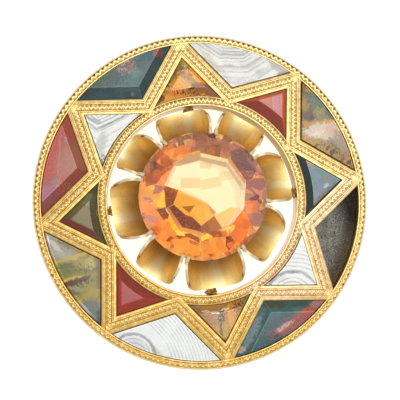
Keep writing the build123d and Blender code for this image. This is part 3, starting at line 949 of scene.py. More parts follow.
def petal_finish(colours):
    """
    Antique gold, brushed along the petal: a painted highlight stripe down its middle between flanks in
    painted brown shade, broad and fine streaks, specks, painted shade towards the foot and painted highlights
    on the cut edges.
    """
    paint = Paint("brushed gold")
    where = paint.place()
    across = paint.parts(paint.lay((1.0, 1.0, 1.0)))[1]
    broad = paint.noise(paint.lay((14.0, 0.9, 1.0)), 1.0, 3, 0.5)
    streaks = paint.noise(paint.lay((5.0, 0.14, 1.0)), 1.0, 4, 0.6)
    cloud = paint.noise(where, 0.7, 4, 0.6)
    grain = paint.noise(where, 4.5, 4, 0.6)
    specks = paint.noise(where, 3.2, 2, 0.5).step(0.68, 0.74)
    stripe = (across + (broad - 0.5) * 1.6).absolute() + (grain - 0.5) * 0.9
    cut = paint.attribute("cut")
    colour = paint.coats(
        colours.petal_gold,
        # painted shade: brown clouds that grow towards the flanks
        ("#CC9C40", (broad * 0.7 + cloud * 1.2 + grain * 0.6 - 1.15 + across.absolute() * 0.09).step(
            0.1, 0.9, 0.55)),
        ("#F8D880", (streaks * 0.8 + cloud * 1.0 - 0.75).step(0.1, 0.6, 0.72)),
        # painted highlight: the pale stripe down the petal's middle
        ("#FFF0BE", stripe.step(1.3, 0.0, 0.85)),
        # painted shade towards the foot, where cut is above 0, with tarnish specks
        (colours.tarnish, (cut * 0.5 + specks * 0.6).step(0.0, 1.2, 0.8)),
        # painted highlight: pale cut edges and claws, where cut is below 0
        ("#E4D6B4", cut.step(-0.3, -0.8)))
    return paint.finish(
        base_color=colour, metallic=0.92, roughness=0.40 + streaks * 0.2,
        normal=paint.bump(streaks * 0.4 + broad * 0.4 + cloud * 0.8, 0.03))


def solder_finish():
    """Dull yellow solder, dark brown to black in places."""
    paint = Paint("dull solder")
    cloud = paint.noise(paint.place(), 1.6, 5, 0.65)
    colour = paint.mix("#C09A50", "#46321E", cloud.step(0.52, 0.66))
    return paint.finish(base_color=colour, metallic=0.8, roughness=0.5, normal=paint.bump(cloud, 0.15))


def cement_finish():
    """Grey cement full of pale and dark grains, brown along the rim and nearly black at its upper end."""
    paint = Paint("old cement")
    where = paint.place()
    x, y, _ = paint.parts(where)
    coarse = paint.noise(where, 0.9, 5, 0.65)
    grains = paint.noise(where, 4.2, 5, 0.8)
    dust = paint.noise(where, 7.0, 2, 0.5)
    rim = (paint.radius(where) + coarse * 3.0 + grains * 3.0).step(27.0, 28.6, 0.8)
    dark = (x * 0.16 + y * 0.09 - 3.7 + coarse * 0.5 + grains * 0.5).step(0.1, 0.8, 0.92)
    colour = paint.coats(
        "#2E2A24",
        ("#A09E94", (coarse * 1.1 + grains * 1.7 - 1.0).step(0.0, 0.7)),
        ("#4A3A1E", rim),
        ("#17120C", dark),
        ("#E0DCCC", dust.step(0.59, 0.67, 0.65) * (1.2 - rim - dark * 0.6)),
        ("#C8A860", grains.step(0.58, 0.66, 0.7) * rim))
    return paint.finish(base_color=colour, roughness=0.85, normal=paint.bump(coarse + grains * 0.7, 0.35))


def citrine_finish(colours):
    """
    Glass with a trace of milkiness, which takes out blue and green light along the way. Its crown and table
    carry painted images of the facets below, as painted reflections, highlights and shade: the crown's
    straight-sided cells are tinted whole, each by the patch that its middle lies in, with painted highlight
    flecks and painted dark cells, and panes with straight sides lie on them.
    """
    paint = Paint("citrine")
    where = paint.place()
    cells = paint.node("ShaderNodeTexVoronoi", {"feature": "F1", "distance": "EUCLIDEAN"}, {
        "Vector": paint.spot(where, CENTRE.real, CENTRE.imag, 0, (1.0, 1.0, FLAT)), "Scale": 0.8,
        "Randomness": 0.9})
    chance, second, _ = paint.parts(cells.outputs["Color"])
    plane = paint.vector("MULTIPLY_ADD", where, (1.0, 1.0, 0.0), (0.0, 0.0, 1.0))
    colour = paint.coats(
        "#D08A4C",
        # painted light: lighter cells
        ("#FFB868", chance.step(0.3, 0.9)),
        *[(tint.colour, spread(paint, cells.outputs["Position"], tint, (second - 0.5) * 0.7))
          for tint in CROWN_TINTS],
        # painted highlights: bright flecks on single cells
        ("#FFD878", chance.step(0.87, 0.88, 0.6)),
        # painted shade: dark single cells
        ("#7A4030", chance.step(0.14, 0.13, 0.6)),
        # painted reflections and shade: the panes
        *[(pane.colour, paint.beyond(plane, pane.corners).step(pane.blur, 0.0, pane.strength))
          for pane in PANES])
    colour = paint.mix(colour, "#B4744C", paint.noise(where, 3.2, 3, 0.7).step(0.5, 0.66, 0.9), "LIGHTEN")
    crown = (paint.parts(where)[2] - Z_GIRDLE).step(0.0, 0.05)
    glass = paint.shader(base_color=paint.mix((1.0, 1.0, 1.0), colour, crown), roughness=0.0, ior=1.5,
                         transmission_weight=0.95)
    facets = paint.shader(base_color=colour, roughness=0.05, ior=1.5, specular_ior_level=0.15)
    volume = paint.node("ShaderNodeVolumeAbsorption", {}, {
        "Color": rgba(colours.citrine), "Density": colours.citrine_depth})
    return paint.output(surface=paint.node("ShaderNodeMixShader", {}, {
        0: crown * PANE_SHARE, 1: glass, 2: facets}).outputs[0], volume=volume.outputs[0])


class Patch(NamedTuple):
    """A patch of colour on a stone: an ellipse at a place in millimetres, with a ragged edge."""
    x: float
    y: float
    length: float
    width: float
    turn: float
    colour: str
    strength: float = 1.0
    softness: float = 0.5
    specks: float = 0.0   # above 0 only the grains show where a fine noise passes this value


def spread(paint, where, patch, ragged):
    """How much of a patch shows: an oval with a soft edge that is moved in and out by ragged."""
    reach = paint.oval(where, patch.x, patch.y, patch.turn, patch.length, patch.width) + ragged
    return reach.step(1.0 + patch.softness / 2, 1.0 - patch.softness / 2, patch.strength)


class Bands(NamedTuple):
    """Growth bands: bent rings round a far point, as fine dark lines, or straight sides round a corner."""
    x: float
    y: float
    pitch: float
    bend: float
    colour: str
    strength: float
    inner: float          # distance at which the lines start and end
    outer: float
    sides: tuple = ()     # azimuths of the straight sides that take the place of the rings


class Stone(NamedTuple):
    """What one stone's finish is made from."""
    ground: str
    clouds: str
    cloud_scale: float
    ragged: float
    shades: tuple         # painted light of each bevel, as the share of the table's colour it keeps: below 1 painted shade, above 1 painted reflection; first, second, curved
    patches: list
    bands: list = []
    grain: float = 0.5
    ridge: float = 1.6    # painted highlight: how much lighter the ridge round the table is


class Pane(NamedTuple):
    """A flat pane of painted light and shade on the citrine, with its corners counterclockwise from the
    brooch's middle.
    """
    corners: tuple
    colour: str
    strength: float = 1.0
    blur: float = 0.06    # width of the soft edge in millimetres


PANE_SHARE = 0.7          # how much of the crown's look is its painted panes of light and shade, the rest is what shines through it

CROWN_TINTS = [           # painted light and shade of the crown, placed from the citrine's middle
    Patch(-0.6, 8.4, 11.1, 3.5, 0, "#A8684A", 0.9, 0.3),
    Patch(-5.1, 6.4, 6.3, 3.2, 45, "#C87650", 0.8, 0.3),
    Patch(6.6, 4.9, 5.4, 6.3, -45, "#94746C", 0.95, 0.3),
    Patch(8.2, -0.7, 3.2, 7.9, 0, "#C08478", 0.9, 0.3),
    Patch(-8.6, 0.0, 3.2, 9.5, 0, "#FFA460", 0.85, 0.4),
    Patch(-8.5, -4.3, 2.2, 4.8, 30, "#E8986C", 0.8, 0.3),
    Patch(-0.6, -7.9, 14.3, 3.5, 0, "#FFA040", 0.95, 0.3),
    Patch(5.7, -5.8, 6.3, 2.9, 45, "#F87C40", 0.9, 0.3),
    Patch(-5.4, -6.8, 6.3, 2.5, -40, "#FF9040", 0.9, 0.3),
]

PANES = [
    Pane(((-4.8, 9.2), (-4.5, 8.6), (-2.4, 9.5), (-3, 10.2)), "#8A5240", 0.9),
    Pane(((-10.2, 3.2), (-9.7, 2.8), (-9.6, 4.3), (-10.1, 4.6)), "#EC8C5A", 0.9),
    Pane(((3.6, 7.8), (4.4, 7.4), (4.9, 8.1), (3.6, 8.8)), "#CC8063", 0.8),
    Pane(((-3.8, -8.5), (-2.2, -9.4), (-1.3, -8.3), (-2.6, -7.5)), "#FBAC49", 0.8),
    Pane(((-0.4, -8), (0.6, -8.9), (2, -8.3), (1.1, -7.4)), "#FBA432", 0.8),
    Pane(((-9.8, 4.3), (-9.6, 1.5), (-7.7, 2), (-5.4, 4.6), (-6, 6.2), (-7.4, 7.5),
          (-9.3, 5.6)), "#9C5437", 0.9),
    Pane(((-6, 7.3), (-5.8, 6), (-2.8, 6.4), (-2.5, 8), (-3.9, 8.1)), "#F48845", 0.9),
    Pane(((-3.3, 7.8), (-1.9, 7.8), (-1.8, 9.1), (-3.2, 8.9)), "#E88C5A", 0.8),
    Pane(((-0.4, 6.7), (2, 6.5), (2.3, 8.3), (-0.3, 8)), "#946045", 0.85),
    Pane(((2.1, 6.1), (3.3, 5.7), (4.1, 7.2), (2.4, 7.4)), "#BC7352", 0.8),
    Pane(((3.7, 5.5), (4.5, 4.4), (6.5, 4.9), (6.5, 6.7), (5.2, 7.6), (3.9, 7.3)), "#805A54", 0.95),
    Pane(((4.6, 4.9), (5.1, 3), (6.3, 2.6), (7.3, 3), (8.1, 4.3), (6.5, 5.5)), "#775C63", 0.95),
    Pane(((8.2, 3.6), (9.2, 4), (9.2, 5), (8.2, 5.1)), "#DC866D", 0.85),
    Pane(((6.1, 1.3), (9, -0.3), (10, 0.9), (9.5, 3.2), (6.1, 2.4)), "#B07775", 0.9),
    Pane(((7, 1.5), (7.9, 0.6), (9, 0.1), (8.3, 1.1)), "#F0A280", 0.85),
    Pane(((6.6, -0.4), (7.2, -0.9), (8.9, -0.1), (8.1, 0.3)), "#804954", 0.85),
    Pane(((6.1, -0.8), (6.2, -2.7), (8.2, -2.4), (8.1, -0.6)), "#F0885A", 0.9),
    Pane(((6.2, -2.7), (6.8, -3.7), (7.4, -4.6), (9, -4.6), (9.8, -2.6)), "#B4796F", 0.9),
    Pane(((3.6, -6), (5.5, -7.5), (6.2, -6.4), (6.8, -4.3), (6.3, -2.8), (4.9, -2.7),
          (4.2, -4.4)), "#F47D35", 0.95),
    Pane(((6, -7.7), (7.5, -6.8), (8.5, -5.4), (6.6, -6.4)), "#984D37", 0.9),
    Pane(((-7.9, 1.9), (-6.8, 1.3), (-6.2, 2.2), (-5.9, 4), (-7.1, 3.1)), "#FB9856", 0.95),
    Pane(((-10, 0.4), (-8.9, -1.4), (-7.9, -2.1), (-7.3, -0.7), (-7.9, 0.9), (-9.7, 1.3)), "#FBAC56", 0.95),
    Pane(((-7.9, -1.5), (-7.4, -2.1), (-6.6, -1.8), (-6.5, 0.2), (-7.1, 0.5)), "#FBC64D", 0.95),
    Pane(((-8.5, 0.3), (-7.4, 0.4), (-6.7, 1.3), (-8.2, 1.7)), "#A46F73", 0.85),
    Pane(((-10, -0.1), (-9.6, -1.1), (-8.3, -1), (-8.9, -0.3)), "#BC807D", 0.8),
    Pane(((-10.7, -0), (-9.2, -4.4), (-7.4, -4.7), (-7.8, -2.5), (-8.9, -1.2)), "#FB9A5E", 0.9),
    Pane(((-10.2, -2.8), (-8.9, -4), (-7.2, -4.7), (-7.7, -3.3)), "#D48E86", 0.85),
    Pane(((-8.6, -5.6), (-6, -7.8), (-4.2, -6.9), (-7.4, -2.7)), "#FB862D", 0.7),
    Pane(((-7.9, -2.2), (-6.8, -3.8), (-5.7, -3.2), (-6.3, -1.8)), "#863C28", 0.95),
    Pane(((-6.5, -3.2), (-5.8, -4.7), (-5.2, -5.1), (-6, -3.2)), "#9C3219", 0.9),
    Pane(((-6.2, -3.8), (-5.5, -5.1), (-4.2, -6.3), (-3.7, -5.1), (-5.4, -2.9), (-6, -3.1)), "#FBBA28", 0.95),
    Pane(((-5, -5.5), (-4.7, -6.1), (-3.6, -6.3), (-2.3, -5.4), (-3.7, -4.9)), "#FBD045", 0.95),
    Pane(((-3.6, -6), (-3.3, -6.3), (-1.1, -7.4), (-1.3, -6.6), (-2.7, -5.9)), "#964019", 0.9),
    Pane(((-1, -6.5), (-0.8, -7.1), (0.7, -6.3), (-0.1, -5.9)), "#FBD856", 0.95),
    Pane(((0.7, -5.7), (0.9, -6.5), (2.8, -6.4), (1.8, -5.4)), "#A44B1E", 0.9),
    Pane(((-5.4, -6.9), (-4.8, -8.5), (-2.8, -9.4), (-1, -9.3), (-1.1, -7.4), (-3.3, -6.6)), "#FB9C3E", 0.9),
    Pane(((-1, -7.2), (-0.8, -9.6), (1.3, -9.6), (3.5, -8.5), (2.7, -6.6)), "#F69037", 0.85),
    Pane(((3, -6.4), (3.1, -7.8), (3.7, -8.5), (4.6, -7.3), (3.8, -6.3)), "#7B2D19", 0.95),
    Pane(((0.3, -9.1), (0.8, -9.7), (1.3, -9.1)), "#B45A1E", 0.9),
    Pane(((-6.4, -7), (-5.9, -7.2), (-5.3, -6.6), (-5.6, -6.3)), "#92371B", 0.9),
    Pane(((3.6, -5.8), (4.2, -5.3), (4.4, -4.6), (3.8, -4.6)), "#FBCE4D", 0.95),
    Pane(((-9.1, 5.8), (-8.8, 3.7), (-7.9, 4.3), (-8, 5.5)), "#6F3E2B", 0.9),
    Pane(((-8, 5.5), (-7.3, 4.9), (-7.4, 6.1)), "#E89049", 0.9),
    Pane(((-8.7, 3.2), (-8.3, 1.9), (-7.4, 2.5), (-7.9, 3.5)), "#BC5A45", 0.8),
    Pane(((0, 10.3), (0.5, 9.5), (1.3, 9.5), (1.9, 10.3)), "#751E19", 0.95),
    Pane(((1.1, 9.2), (1.3, 8.1), (2.5, 8.7), (2.1, 9.6)), "#BC755A", 0.8),
    Pane(((2, 7), (2.4, 5.8), (2.9, 6), (2.5, 7)), "#E08867", 0.9),
    Pane(((-1.4, 7.8), (-0.6, 7.8), (-0.4, 9.1), (-1.2, 9.1)), "#AC654D", 0.8),
    Pane(((8.5, -0.3), (9, -0.4), (9.1, 1), (8.5, 1.1)), "#EC9C6B", 0.9),
    Pane(((7.1, 5.3), (7.8, 4.9), (8.6, 5.5), (8.1, 6.1)), "#A4675E", 0.8),
    Pane(((3.3, -7.5), (3.7, -8.1), (4.5, -7.7), (4.6, -6.9)), "#E07737", 0.8),
    Pane(((-8.9, -5), (-8.1, -6.2), (-7.3, -5.8), (-7.8, -4.7)), "#DC652D", 0.8),
    Pane(((-7.3, -5.8), (-6.8, -6.6), (-6.1, -6.3), (-6.4, -5.2)), "#FB9837", 0.8),
    Pane(((-4.9, -6.3), (-4.2, -6.8), (-3.9, -6.3)), "#863219", 0.85),
    Pane(((-2.7, -7.4), (-1.4, -7.8), (-1.3, -7.4), (-2.7, -6.9)), "#CC6523", 0.85),
    Pane(((2.1, -5.7), (2.7, -6.6), (3.3, -6.1), (2.9, -5.4)), "#EC772D", 0.85),
    Pane(((-6.8, 1.5), (-6.5, -2.3), (-4.3, -5.2), (-1, -6), (3.8, -4.4), (5.8, -1.9), (6.1, 2.4),
          (3.6, 5.7), (-1.2, 6.7), (-4.6, 5.6), (-5.4, 4.3)), "#EED2A4"),
    Pane(((-6.2, 1.6), (-4.3, -0.1), (-1, -2.9), (1, -3.5), (3.7, -4), (5.1, -1.6), (5.1, 1.9),
          (2.9, 4.5), (-1.2, 5.6), (-4.7, 4.6)), "#F9ECC0"),
    Pane(((-1.2, 4.3), (0.4, 4.3), (0.9, 5.5), (-1.2, 5.6)), "#E4CA96", 0.8),
    Pane(((-4.2, 1.2), (-1.2, 1.2), (-1.2, 2.8), (-4.2, 2.7)), "#E4C892", 0.8),
    Pane(((-1.2, 2.4), (-1, 0.9), (2.1, 1.5), (2.3, 3.1)), "#E6CE98", 0.8),
    Pane(((1.8, 3.9), (2, 2.3), (4.2, 2.7), (4, 3.8)), "#ECD8A8", 0.8),
    Pane(((-1.2, 6.7), (-0.6, 5.9), (3.9, 5.2), (3.6, 5.7)), "#FBE4A4", 0.9),
    Pane(((-5.3, 4.6), (-4.5, 4.6), (-1.2, 5.6), (-1.2, 6.7), (-4.6, 5.6)), "#CEA077", 0.9),
    Pane(((-1.2, 5.6), (2.9, 4.5), (3.1, 5.2), (-1.2, 6.1)), "#D4B084", 0.9),
    Pane(((3, 6.2), (3.4, 5.3), (5.9, 1.9), (6.1, 2.4), (3.8, 5.7)), "#EC9C6F", 0.9),
    Pane(((-5.7, 6), (-5.2, 5.5), (-1.2, 6.6), (-1.2, 7.1)), "#F0A85E", 0.9),
    Pane(((3.1, 4.5), (5.1, 1.4), (5.3, 1.9), (3.2, 5)), "#DCB88C", 0.9),
    Pane(((5.1, -2.2), (5.7, -1.6), (5.9, 0.9), (5.3, 0.9)), "#FBF4C4", 0.9),
    Pane(((-5.3, -1.4), (-2.8, -3.5), (-1, -4.8), (1, -3.2), (-0.3, -1.5), (-4.6, 0.5)), "#FBB042", 1, 0.7),
    Pane(((-2.6, -2.1), (-1, -4.8), (1, -3.2), (-0.6, -1.2)), "#FBBA52"),
    Pane(((-4, -1.8), (-2.9, -2.7), (-2.1, -1.6)), "#AC671E", 0.95),
    Pane(((0.1, -1.5), (0.8, -3), (1.3, -2.6)), "#C08649", 0.8),
    Pane(((1, -3.2), (2.3, -5.1), (3.7, -3.8), (4.8, -1.9), (3.5, -1.9)), "#FBC473", 0.95),
    Pane(((-6.8, 1.5), (-6.5, -2), (-5.4, -1.4), (-4.6, 0.8)), "#924B23"),
    Pane(((-6.3, -2), (-5.7, -3.1), (-3.7, -5.2), (-3.1, -3.4), (-5.3, -1.5)), "#7B3C2D"),
    Pane(((-3.7, -5.2), (-1, -5.9), (-1, -4.8), (-2.4, -3.4), (-3.4, -3.1)), "#864732"),
    Pane(((-1, -5.9), (0.8, -5.5), (2.3, -5.1), (1, -3.2), (-1, -4.8)), "#AA653E"),
    Pane(((-6.5, -2), (-4.3, -5.5), (-4, -4.9), (-6, -2)), "#D48040", 0.95),
    Pane(((-4.3, -5.5), (-1, -6.2), (-1, -5.7), (-4.3, -4.9)), "#E8984D", 0.95)
]

STONES = {
    "bloodstone_upper_left": Stone("#476E6E", "#2D4D50", 0.45, 0.9, (0.46, (0.44, 0.46, 0.5), 0.8), [
        Patch(-16.8, 20.1, 5.7, 2.7, 30, "#4D5C43", 0.7, 0.9),
        Patch(-9.7, 22.3, 2.7, 1.7, 50, "#4D575C", 0.6, 0.8),
        Patch(-9.3, 24.4, 2.3, 1.3, 20, "#285C70", 0.7, 0.8),
        Patch(-11.6, 21.2, 2, 1.7, 0, "#669083", 0.5, 0.8),
        Patch(-13, 22.2, 3.5, 2.7, 35, "#A37570", 0.9, 0.8, 0.44),
        Patch(-13, 22.4, 2.5, 1.8, 20, "#D0A89C", 0.9, 0.7, 0.5),
        Patch(-12.5, 22.2, 1.5, 1.2, 20, "#A35032", 0.8, 0.6, 0.48),
        Patch(-7.6, 24.7, 1.8, 1.7, 0, "#A34D54", 1, 0.3),
        Patch(-19.5, 17.3, 1.2, 1.2, 0, "#5F282E", 0.8, 0.6, 0.5),
        Patch(-14, 19.1, 6.7, 2.3, 0, "#7B9087", 0.5, 0.9, 0.6),
        Patch(-11.8, 17.5, 0.8, 0.7, 20, "#9AAC9A", 0.6, 0.6)
    ]),
    "red_jasper_left": Stone("#B3574A", "#AA5043", 0.5, 0.8, ((0.78, 0.62, 0.44), (0.6, 0.44, 0.28), 1.4), [
        Patch(-22.1, 6.3, 4.3, 5, -60, "#A8725C", 0.8, 0.9),
        Patch(-25.9, 0.3, 3, 4.3, -25, "#A67289", 0.85, 0.8),
        Patch(-24.9, 6.6, 2.5, 7.3, -15, "#BF504A", 0.6, 0.8),
        Patch(-23.7, 7.1, 8.3, 0.27, 88, "#CC8275", 0.6, 0.8),
        Patch(-23.8, 2.6, 3, 0.22, 74, "#CE8C7F", 0.5, 0.8),
        Patch(-22.7, 9.6, 0.7, 1, 0, "#907D90", 0.8, 0.7),
        Patch(-24.2, 2.6, 1, 1.5, -30, "#877D7D", 0.8, 0.7),
        Patch(-20.7, 8.6, 1.3, 1.7, 0, "#957262", 0.8, 0.6),
        Patch(-22.9, 1.7, 2.3, 2, 0, "#D5AC9A", 0.9, 0.8, 0.55),
        Patch(-23.9, 4.6, 5, 6.7, 0, "#BF7568", 0.6, 0.8, 0.54)
    ]),
    "landscape_agate_lower_left": Stone("#857D41", "#988941", 0.6, 0.9, (0.85, 0.8, (1.5, 1.65, 2.4)), [
        Patch(-23.7, -7.5, 7.3, 4, -40, "#9A9385", 1, 0.4),
        Patch(-24, -8, 4.7, 0.8, -48, "#D5CCB4", 0.8, 0.6),
        Patch(-22.4, -7.3, 3.3, 1.2, -28, "#725E33", 0.8, 0.5),
        Patch(-23, -9.2, 3, 1.2, -10, "#A7A490", 0.8, 0.6),
        Patch(-19.2, -8.8, 5.3, 1.5, -28, "#857221", 0.9, 0.4),
        Patch(-21.2, -9.6, 6, 0.7, 18, "#C2A73A", 0.9, 0.5),
        Patch(-17.5, -9.4, 2, 2.3, 0, "#836619", 0.8, 0.5),
        Patch(-22, -11, 4, 1, 8, "#5B6633", 0.9, 0.5),
        Patch(-22.2, -12.1, 3, 1.5, 5, "#707426", 0.9, 0.5),
        Patch(-19.5, -10.5, 3.7, 1, 8, "#A9952A", 0.8, 0.5),
        Patch(-19.1, -11.7, 4.3, 0.8, 8, "#837421", 0.8, 0.5),
        Patch(-18.5, -10.5, 1.5, 2.2, 0, "#C0B269", 0.7, 0.7),
        Patch(-21, -13.1, 5, 0.7, 10, "#C2A730", 0.9, 0.5),
        Patch(-20.9, -13.7, 4, 1, 12, "#5B2D20", 1, 0.35),
        Patch(-19.3, -13, 2, 0.7, 28, "#5E3021", 0.9, 0.4),
        Patch(-19.6, -14.4, 4.3, 1.5, 8, "#989033", 0.8, 0.5),
        Patch(-19.7, -13.9, 4, 1.3, 14, "#221F11", 0.95, 0.7, 0.5),
        Patch(-19.4, -11.3, 5.7, 2, 8, "#3F4316", 0.7, 0.8, 0.52),
        Patch(-20.7, -14.7, 2, 0.7, 0, "#89987A", 0.6, 0.6),
        Patch(-16.9, -12.5, 1.2, 6.7, 0, "#6D4319", 0.8, 0.6),
        Patch(-21.3, -15.2, 2.5, 0.8, -20, "#6D5038", 0.9, 0.5),
        Patch(-18.4, -15.9, 4, 1.8, 36, "#A98E2B", 0.95, 0.4),
        Patch(-20, -16.8, 2.3, 0.8, 30, "#C2A22D", 0.9, 0.5),
        Patch(-18.1, -18.6, 5, 4, -45, "#70746D", 1, 0.35),
        Patch(-16.9, -19.4, 1, 2.7, 0, "#363F41", 0.8, 0.6),
        Patch(-19.2, -17.9, 2.3, 0.8, -45, "#A7A490", 0.7, 0.6)
    ]),
    "banded_agate_bottom": Stone("#F4F7F3", "#EBEEEB", 0.4, 0.8, (0.8, 0.85, 1), [
        Patch(-13.9, -22, 3.3, 1, -10, "#E1E7E1", 0.7, 0.8),
        Patch(-7.6, -24.9, 2.2, 1, -52, "#CEC2AC", 0.7, 0.6),
        Patch(-6.1, -25.7, 2.7, 0.5, -14, "#D2C3A9", 0.8, 0.5),
        Patch(-10.6, -24.1, 4, 2, -35, "#CFD3D7", 0.7, 0.7)
    ], [
        Bands(-16.7, -30, 0.52, 0.35, "#B4B8B6", 0.7, 12, 20.3),
        Bands(-11.6, -25.7, 0.63, 0.4, "#9CA4AC", 0.7, 1, 3.2),
        Bands(-11.6, -25.7, 1.32, 0.4, "#818B98", 0.9, 3.3, 4.2)
    ]),
    "bloodstone_lower_right": Stone("#2C5F65", "#26474A", 0.5, 0.8, (
        (1.7, 1.3, 1.15), (1.45, 1.35, 1.05), 0.9), [
        Patch(11, -20.8, 3.3, 3, 0, "#265057", 0.7, 0.8),
        Patch(11.9, -17.3, 4.7, 1.3, 0, "#32321E", 0.9, 0.5),
        Patch(16.1, -17.3, 3.3, 1, 5, "#26322A", 0.8, 0.6),
        Patch(8.4, -20.1, 2, 1.5, 60, "#752A29", 0.6, 0.7),
        Patch(8.3, -21.6, 6, 1.5, 62, "#5F8492", 0.8, 0.8),
        Patch(15.6, -20.1, 9.5, 2.2, 30, "#A04A30", 0.95, 0.7, 0.4),
        Patch(16.4, -20.2, 6.5, 1.2, 32, "#8C6C6C", 0.7, 0.7, 0.55),
        Patch(16.6, -19.3, 5.5, 1.5, 33, "#AC3C24", 0.9, 0.6, 0.46),
        Patch(9.7, -21.6, 6.7, 5, 60, "#162829", 0.6, 0.8, 0.54),
        Patch(13.4, -21.4, 3.2, 0.9, 30, "#B8583C", 0.8, 0.5),
        Patch(13.6, -20.9, 3.4, 0.8, 32, "#C4B4B4", 0.75, 0.6, 0.42),
        Patch(19.2, -17.2, 3, 1.2, 22, "#8C6470", 0.85, 0.5),
        Patch(14.4, -19.6, 2.7, 0.7, 30, "#57505C", 0.7, 0.6),
        Patch(13.7, -22.9, 3.7, 0.8, 20, "#222E1F", 0.7, 0.5),
        Patch(14, -22.6, 1.5, 0.5, 20, "#75752F", 0.6, 0.6),
        Patch(6.4, -24.8, 1.7, 1, 20, "#94A09C", 0.7, 0.6),
        Patch(6.7, -24.5, 1.8, 1.1, 20, "#A3432F", 0.7, 0.7, 0.52),
        Patch(12.2, -22.5, 0.8, 0.5, 10, "#2E1A1A", 0.8, 0.5),
        Patch(8, -20.2, 1.8, 1, 60, "#8E3E34", 0.75, 0.6)
    ], grain=0.35),
    "landscape_agate_right": Stone("#9D8D66", "#7B744C", 0.6, 0.9, (0.6, 0.6, (1.35, 1.4, 1.7)), [
        Patch(17.4, 16.1, 3, 6.7, 0, "#655A2C", 1, 0.5),
        Patch(17.9, 19.5, 3, 1.7, -42, "#BA8728", 0.9, 0.5),
        Patch(17.1, 19.5, 1.2, 1.5, 0, "#62451F", 0.8, 0.5),
        Patch(17.3, 16.3, 1.6, 2.6, 0, "#A98230", 0.9, 0.5),
        Patch(18.1, 14.4, 1.8, 1.5, 0, "#623623", 0.7, 0.6),
        Patch(19.5, 17, 3.7, 2.7, -55, "#657666", 0.95, 0.5),
        Patch(20.1, 15.3, 1.4, 1.8, 30, "#A09440", 0.7, 0.6),
        Patch(21.7, 15.1, 2.5, 1.3, -55, "#546166", 0.95, 0.4),
        Patch(18.4, 14, 1.2, 0.7, 0, "#433223", 0.7, 0.5),
        Patch(19.6, 13.2, 6, 0.8, 8, "#CB9330", 0.9, 0.5),
        Patch(22.2, 13.4, 1.3, 0.8, -20, "#DE9847", 0.8, 0.5),
        Patch(17.5, 12.8, 1.7, 1.3, 0, "#C38423", 0.9, 0.5),
        Patch(17, 11.4, 0.8, 3, 0, "#7B6123", 0.8, 0.5),
        Patch(20.4, 11.8, 6.7, 2.8, 8, "#D8C3AE", 1, 0.35),
        Patch(21.8, 12, 2.6, 1.9, 0, "#D2A590", 0.7, 0.7),
        Patch(18.9, 11.1, 3.7, 0.8, 22, "#EAD7B8", 0.8, 0.6),
        Patch(18.3, 10, 4, 1.7, -20, "#B48628", 0.95, 0.5),
        Patch(20.6, 9.1, 4.4, 1.9, -28, "#B98C30", 0.95, 0.5),
        Patch(23.7, 10.1, 2.5, 4, 30, "#A38E7C", 0.9, 0.5),
        Patch(25.1, 7.6, 1.3, 3.3, 25, "#A8875C", 0.8, 0.5),
        Patch(22.5, 8.6, 2.3, 1.3, -30, "#9D8023", 0.7, 0.5),
        Patch(23.3, 7.4, 2.8, 1.8, -30, "#B07A2A", 0.85, 0.5),
        Patch(24.8, 6.5, 2, 2, 30, "#BE8430", 0.85, 0.5),
        Patch(19.6, 9.9, 3.3, 1.2, -30, "#30230C", 0.9, 0.6, 0.51),
        Patch(22, 8.9, 5, 1.5, -33, "#2C1E0E", 0.9, 0.6, 0.5),
        Patch(21.6, 8.1, 4, 1.3, -33, "#622810", 0.8, 0.7, 0.53),
        Patch(24.7, 6.9, 2, 3, 20, "#242312", 0.9, 0.6, 0.55),
        Patch(19, 17.1, 4.3, 7.3, 0, "#332F1F", 0.7, 0.9, 0.55),
        Patch(20.8, 11.5, 7.3, 3, 8, "#F0DEBD", 0.45, 0.7, 0.5),
        Patch(23, 10.7, 5.7, 3.3, 20, "#C3805C", 0.4, 0.8, 0.54),
        Patch(19.2, 9.3, 1, 0.5, 50, "#241A0C", 0.85, 0.5),
        Patch(21.3, 8.9, 1, 0.5, 60, "#241A0C", 0.85, 0.5),
        Patch(22.1, 8.2, 1.2, 0.6, 50, "#2E1810", 0.85, 0.5),
        Patch(20.5, 7.9, 1.4, 0.6, -30, "#4A2A14", 0.85, 0.5),
        Patch(23.7, 6.9, 1, 0.6, 60, "#34381A", 0.8, 0.5),
        Patch(24.9, 6.5, 1, 0.7, 30, "#1E2010", 0.85, 0.5)
    ], grain=0.2),
    "banded_agate_top": Stone("#F3F2EF", "#E7E6DF", 0.4, 0.8, (0.8, 0.75, 1), [
        Patch(10, 26.6, 5, 2, -22, "#D7D6D2", 0.7, 0.9),
        Patch(6.6, 19.1, 7.7, 1.2, 14, "#D2C1A2", 0.8, 0.9),
        Patch(1.5, 23.3, 6.7, 1, -46, "#DBCFB6", 0.8, 0.9),
        Patch(13.1, 22.6, 4.3, 1.5, -30, "#B8B1B2", 0.85, 0.6),
        Patch(13.8, 21.7, 2.7, 0.7, 14, "#93856F", 0.8, 0.6),
        Patch(7.9, 22.8, 4.3, 1.3, -20, "#DDDAD2", 0.6, 0.9)
    ], [
        Bands(4.7, 30.7, 2.16, 0.6, "#B4B6B2", 0.6, 4, 13.3, (238, 270, 307)),
        Bands(4.7, 30.7, 0.57, 0.6, "#8D9393", 0.75, 4.2, 7.3, (238, 270, 307)),
        Bands(4.7, 30.7, 0.92, 0.7, "#ACACA8", 0.6, 7.7, 11.7, (238, 270, 307))
    ]),
    "moss_agate_inner_top": Stone("#FBAC40", "#E8982B", 0.7, 0.9, (0.95, 0.8, 0.95), [
        Patch(-1.3, 21.3, 2.3, 2.3, 0, "#FFB34E", 0.9, 0.6),
        Patch(-5.1, 19.3, 2.2, 1.8, 40, "#FB9E34", 0.9, 0.5),
        Patch(-3.5, 22.7, 1.5, 1, 0, "#D4BA55", 0.9, 0.5),
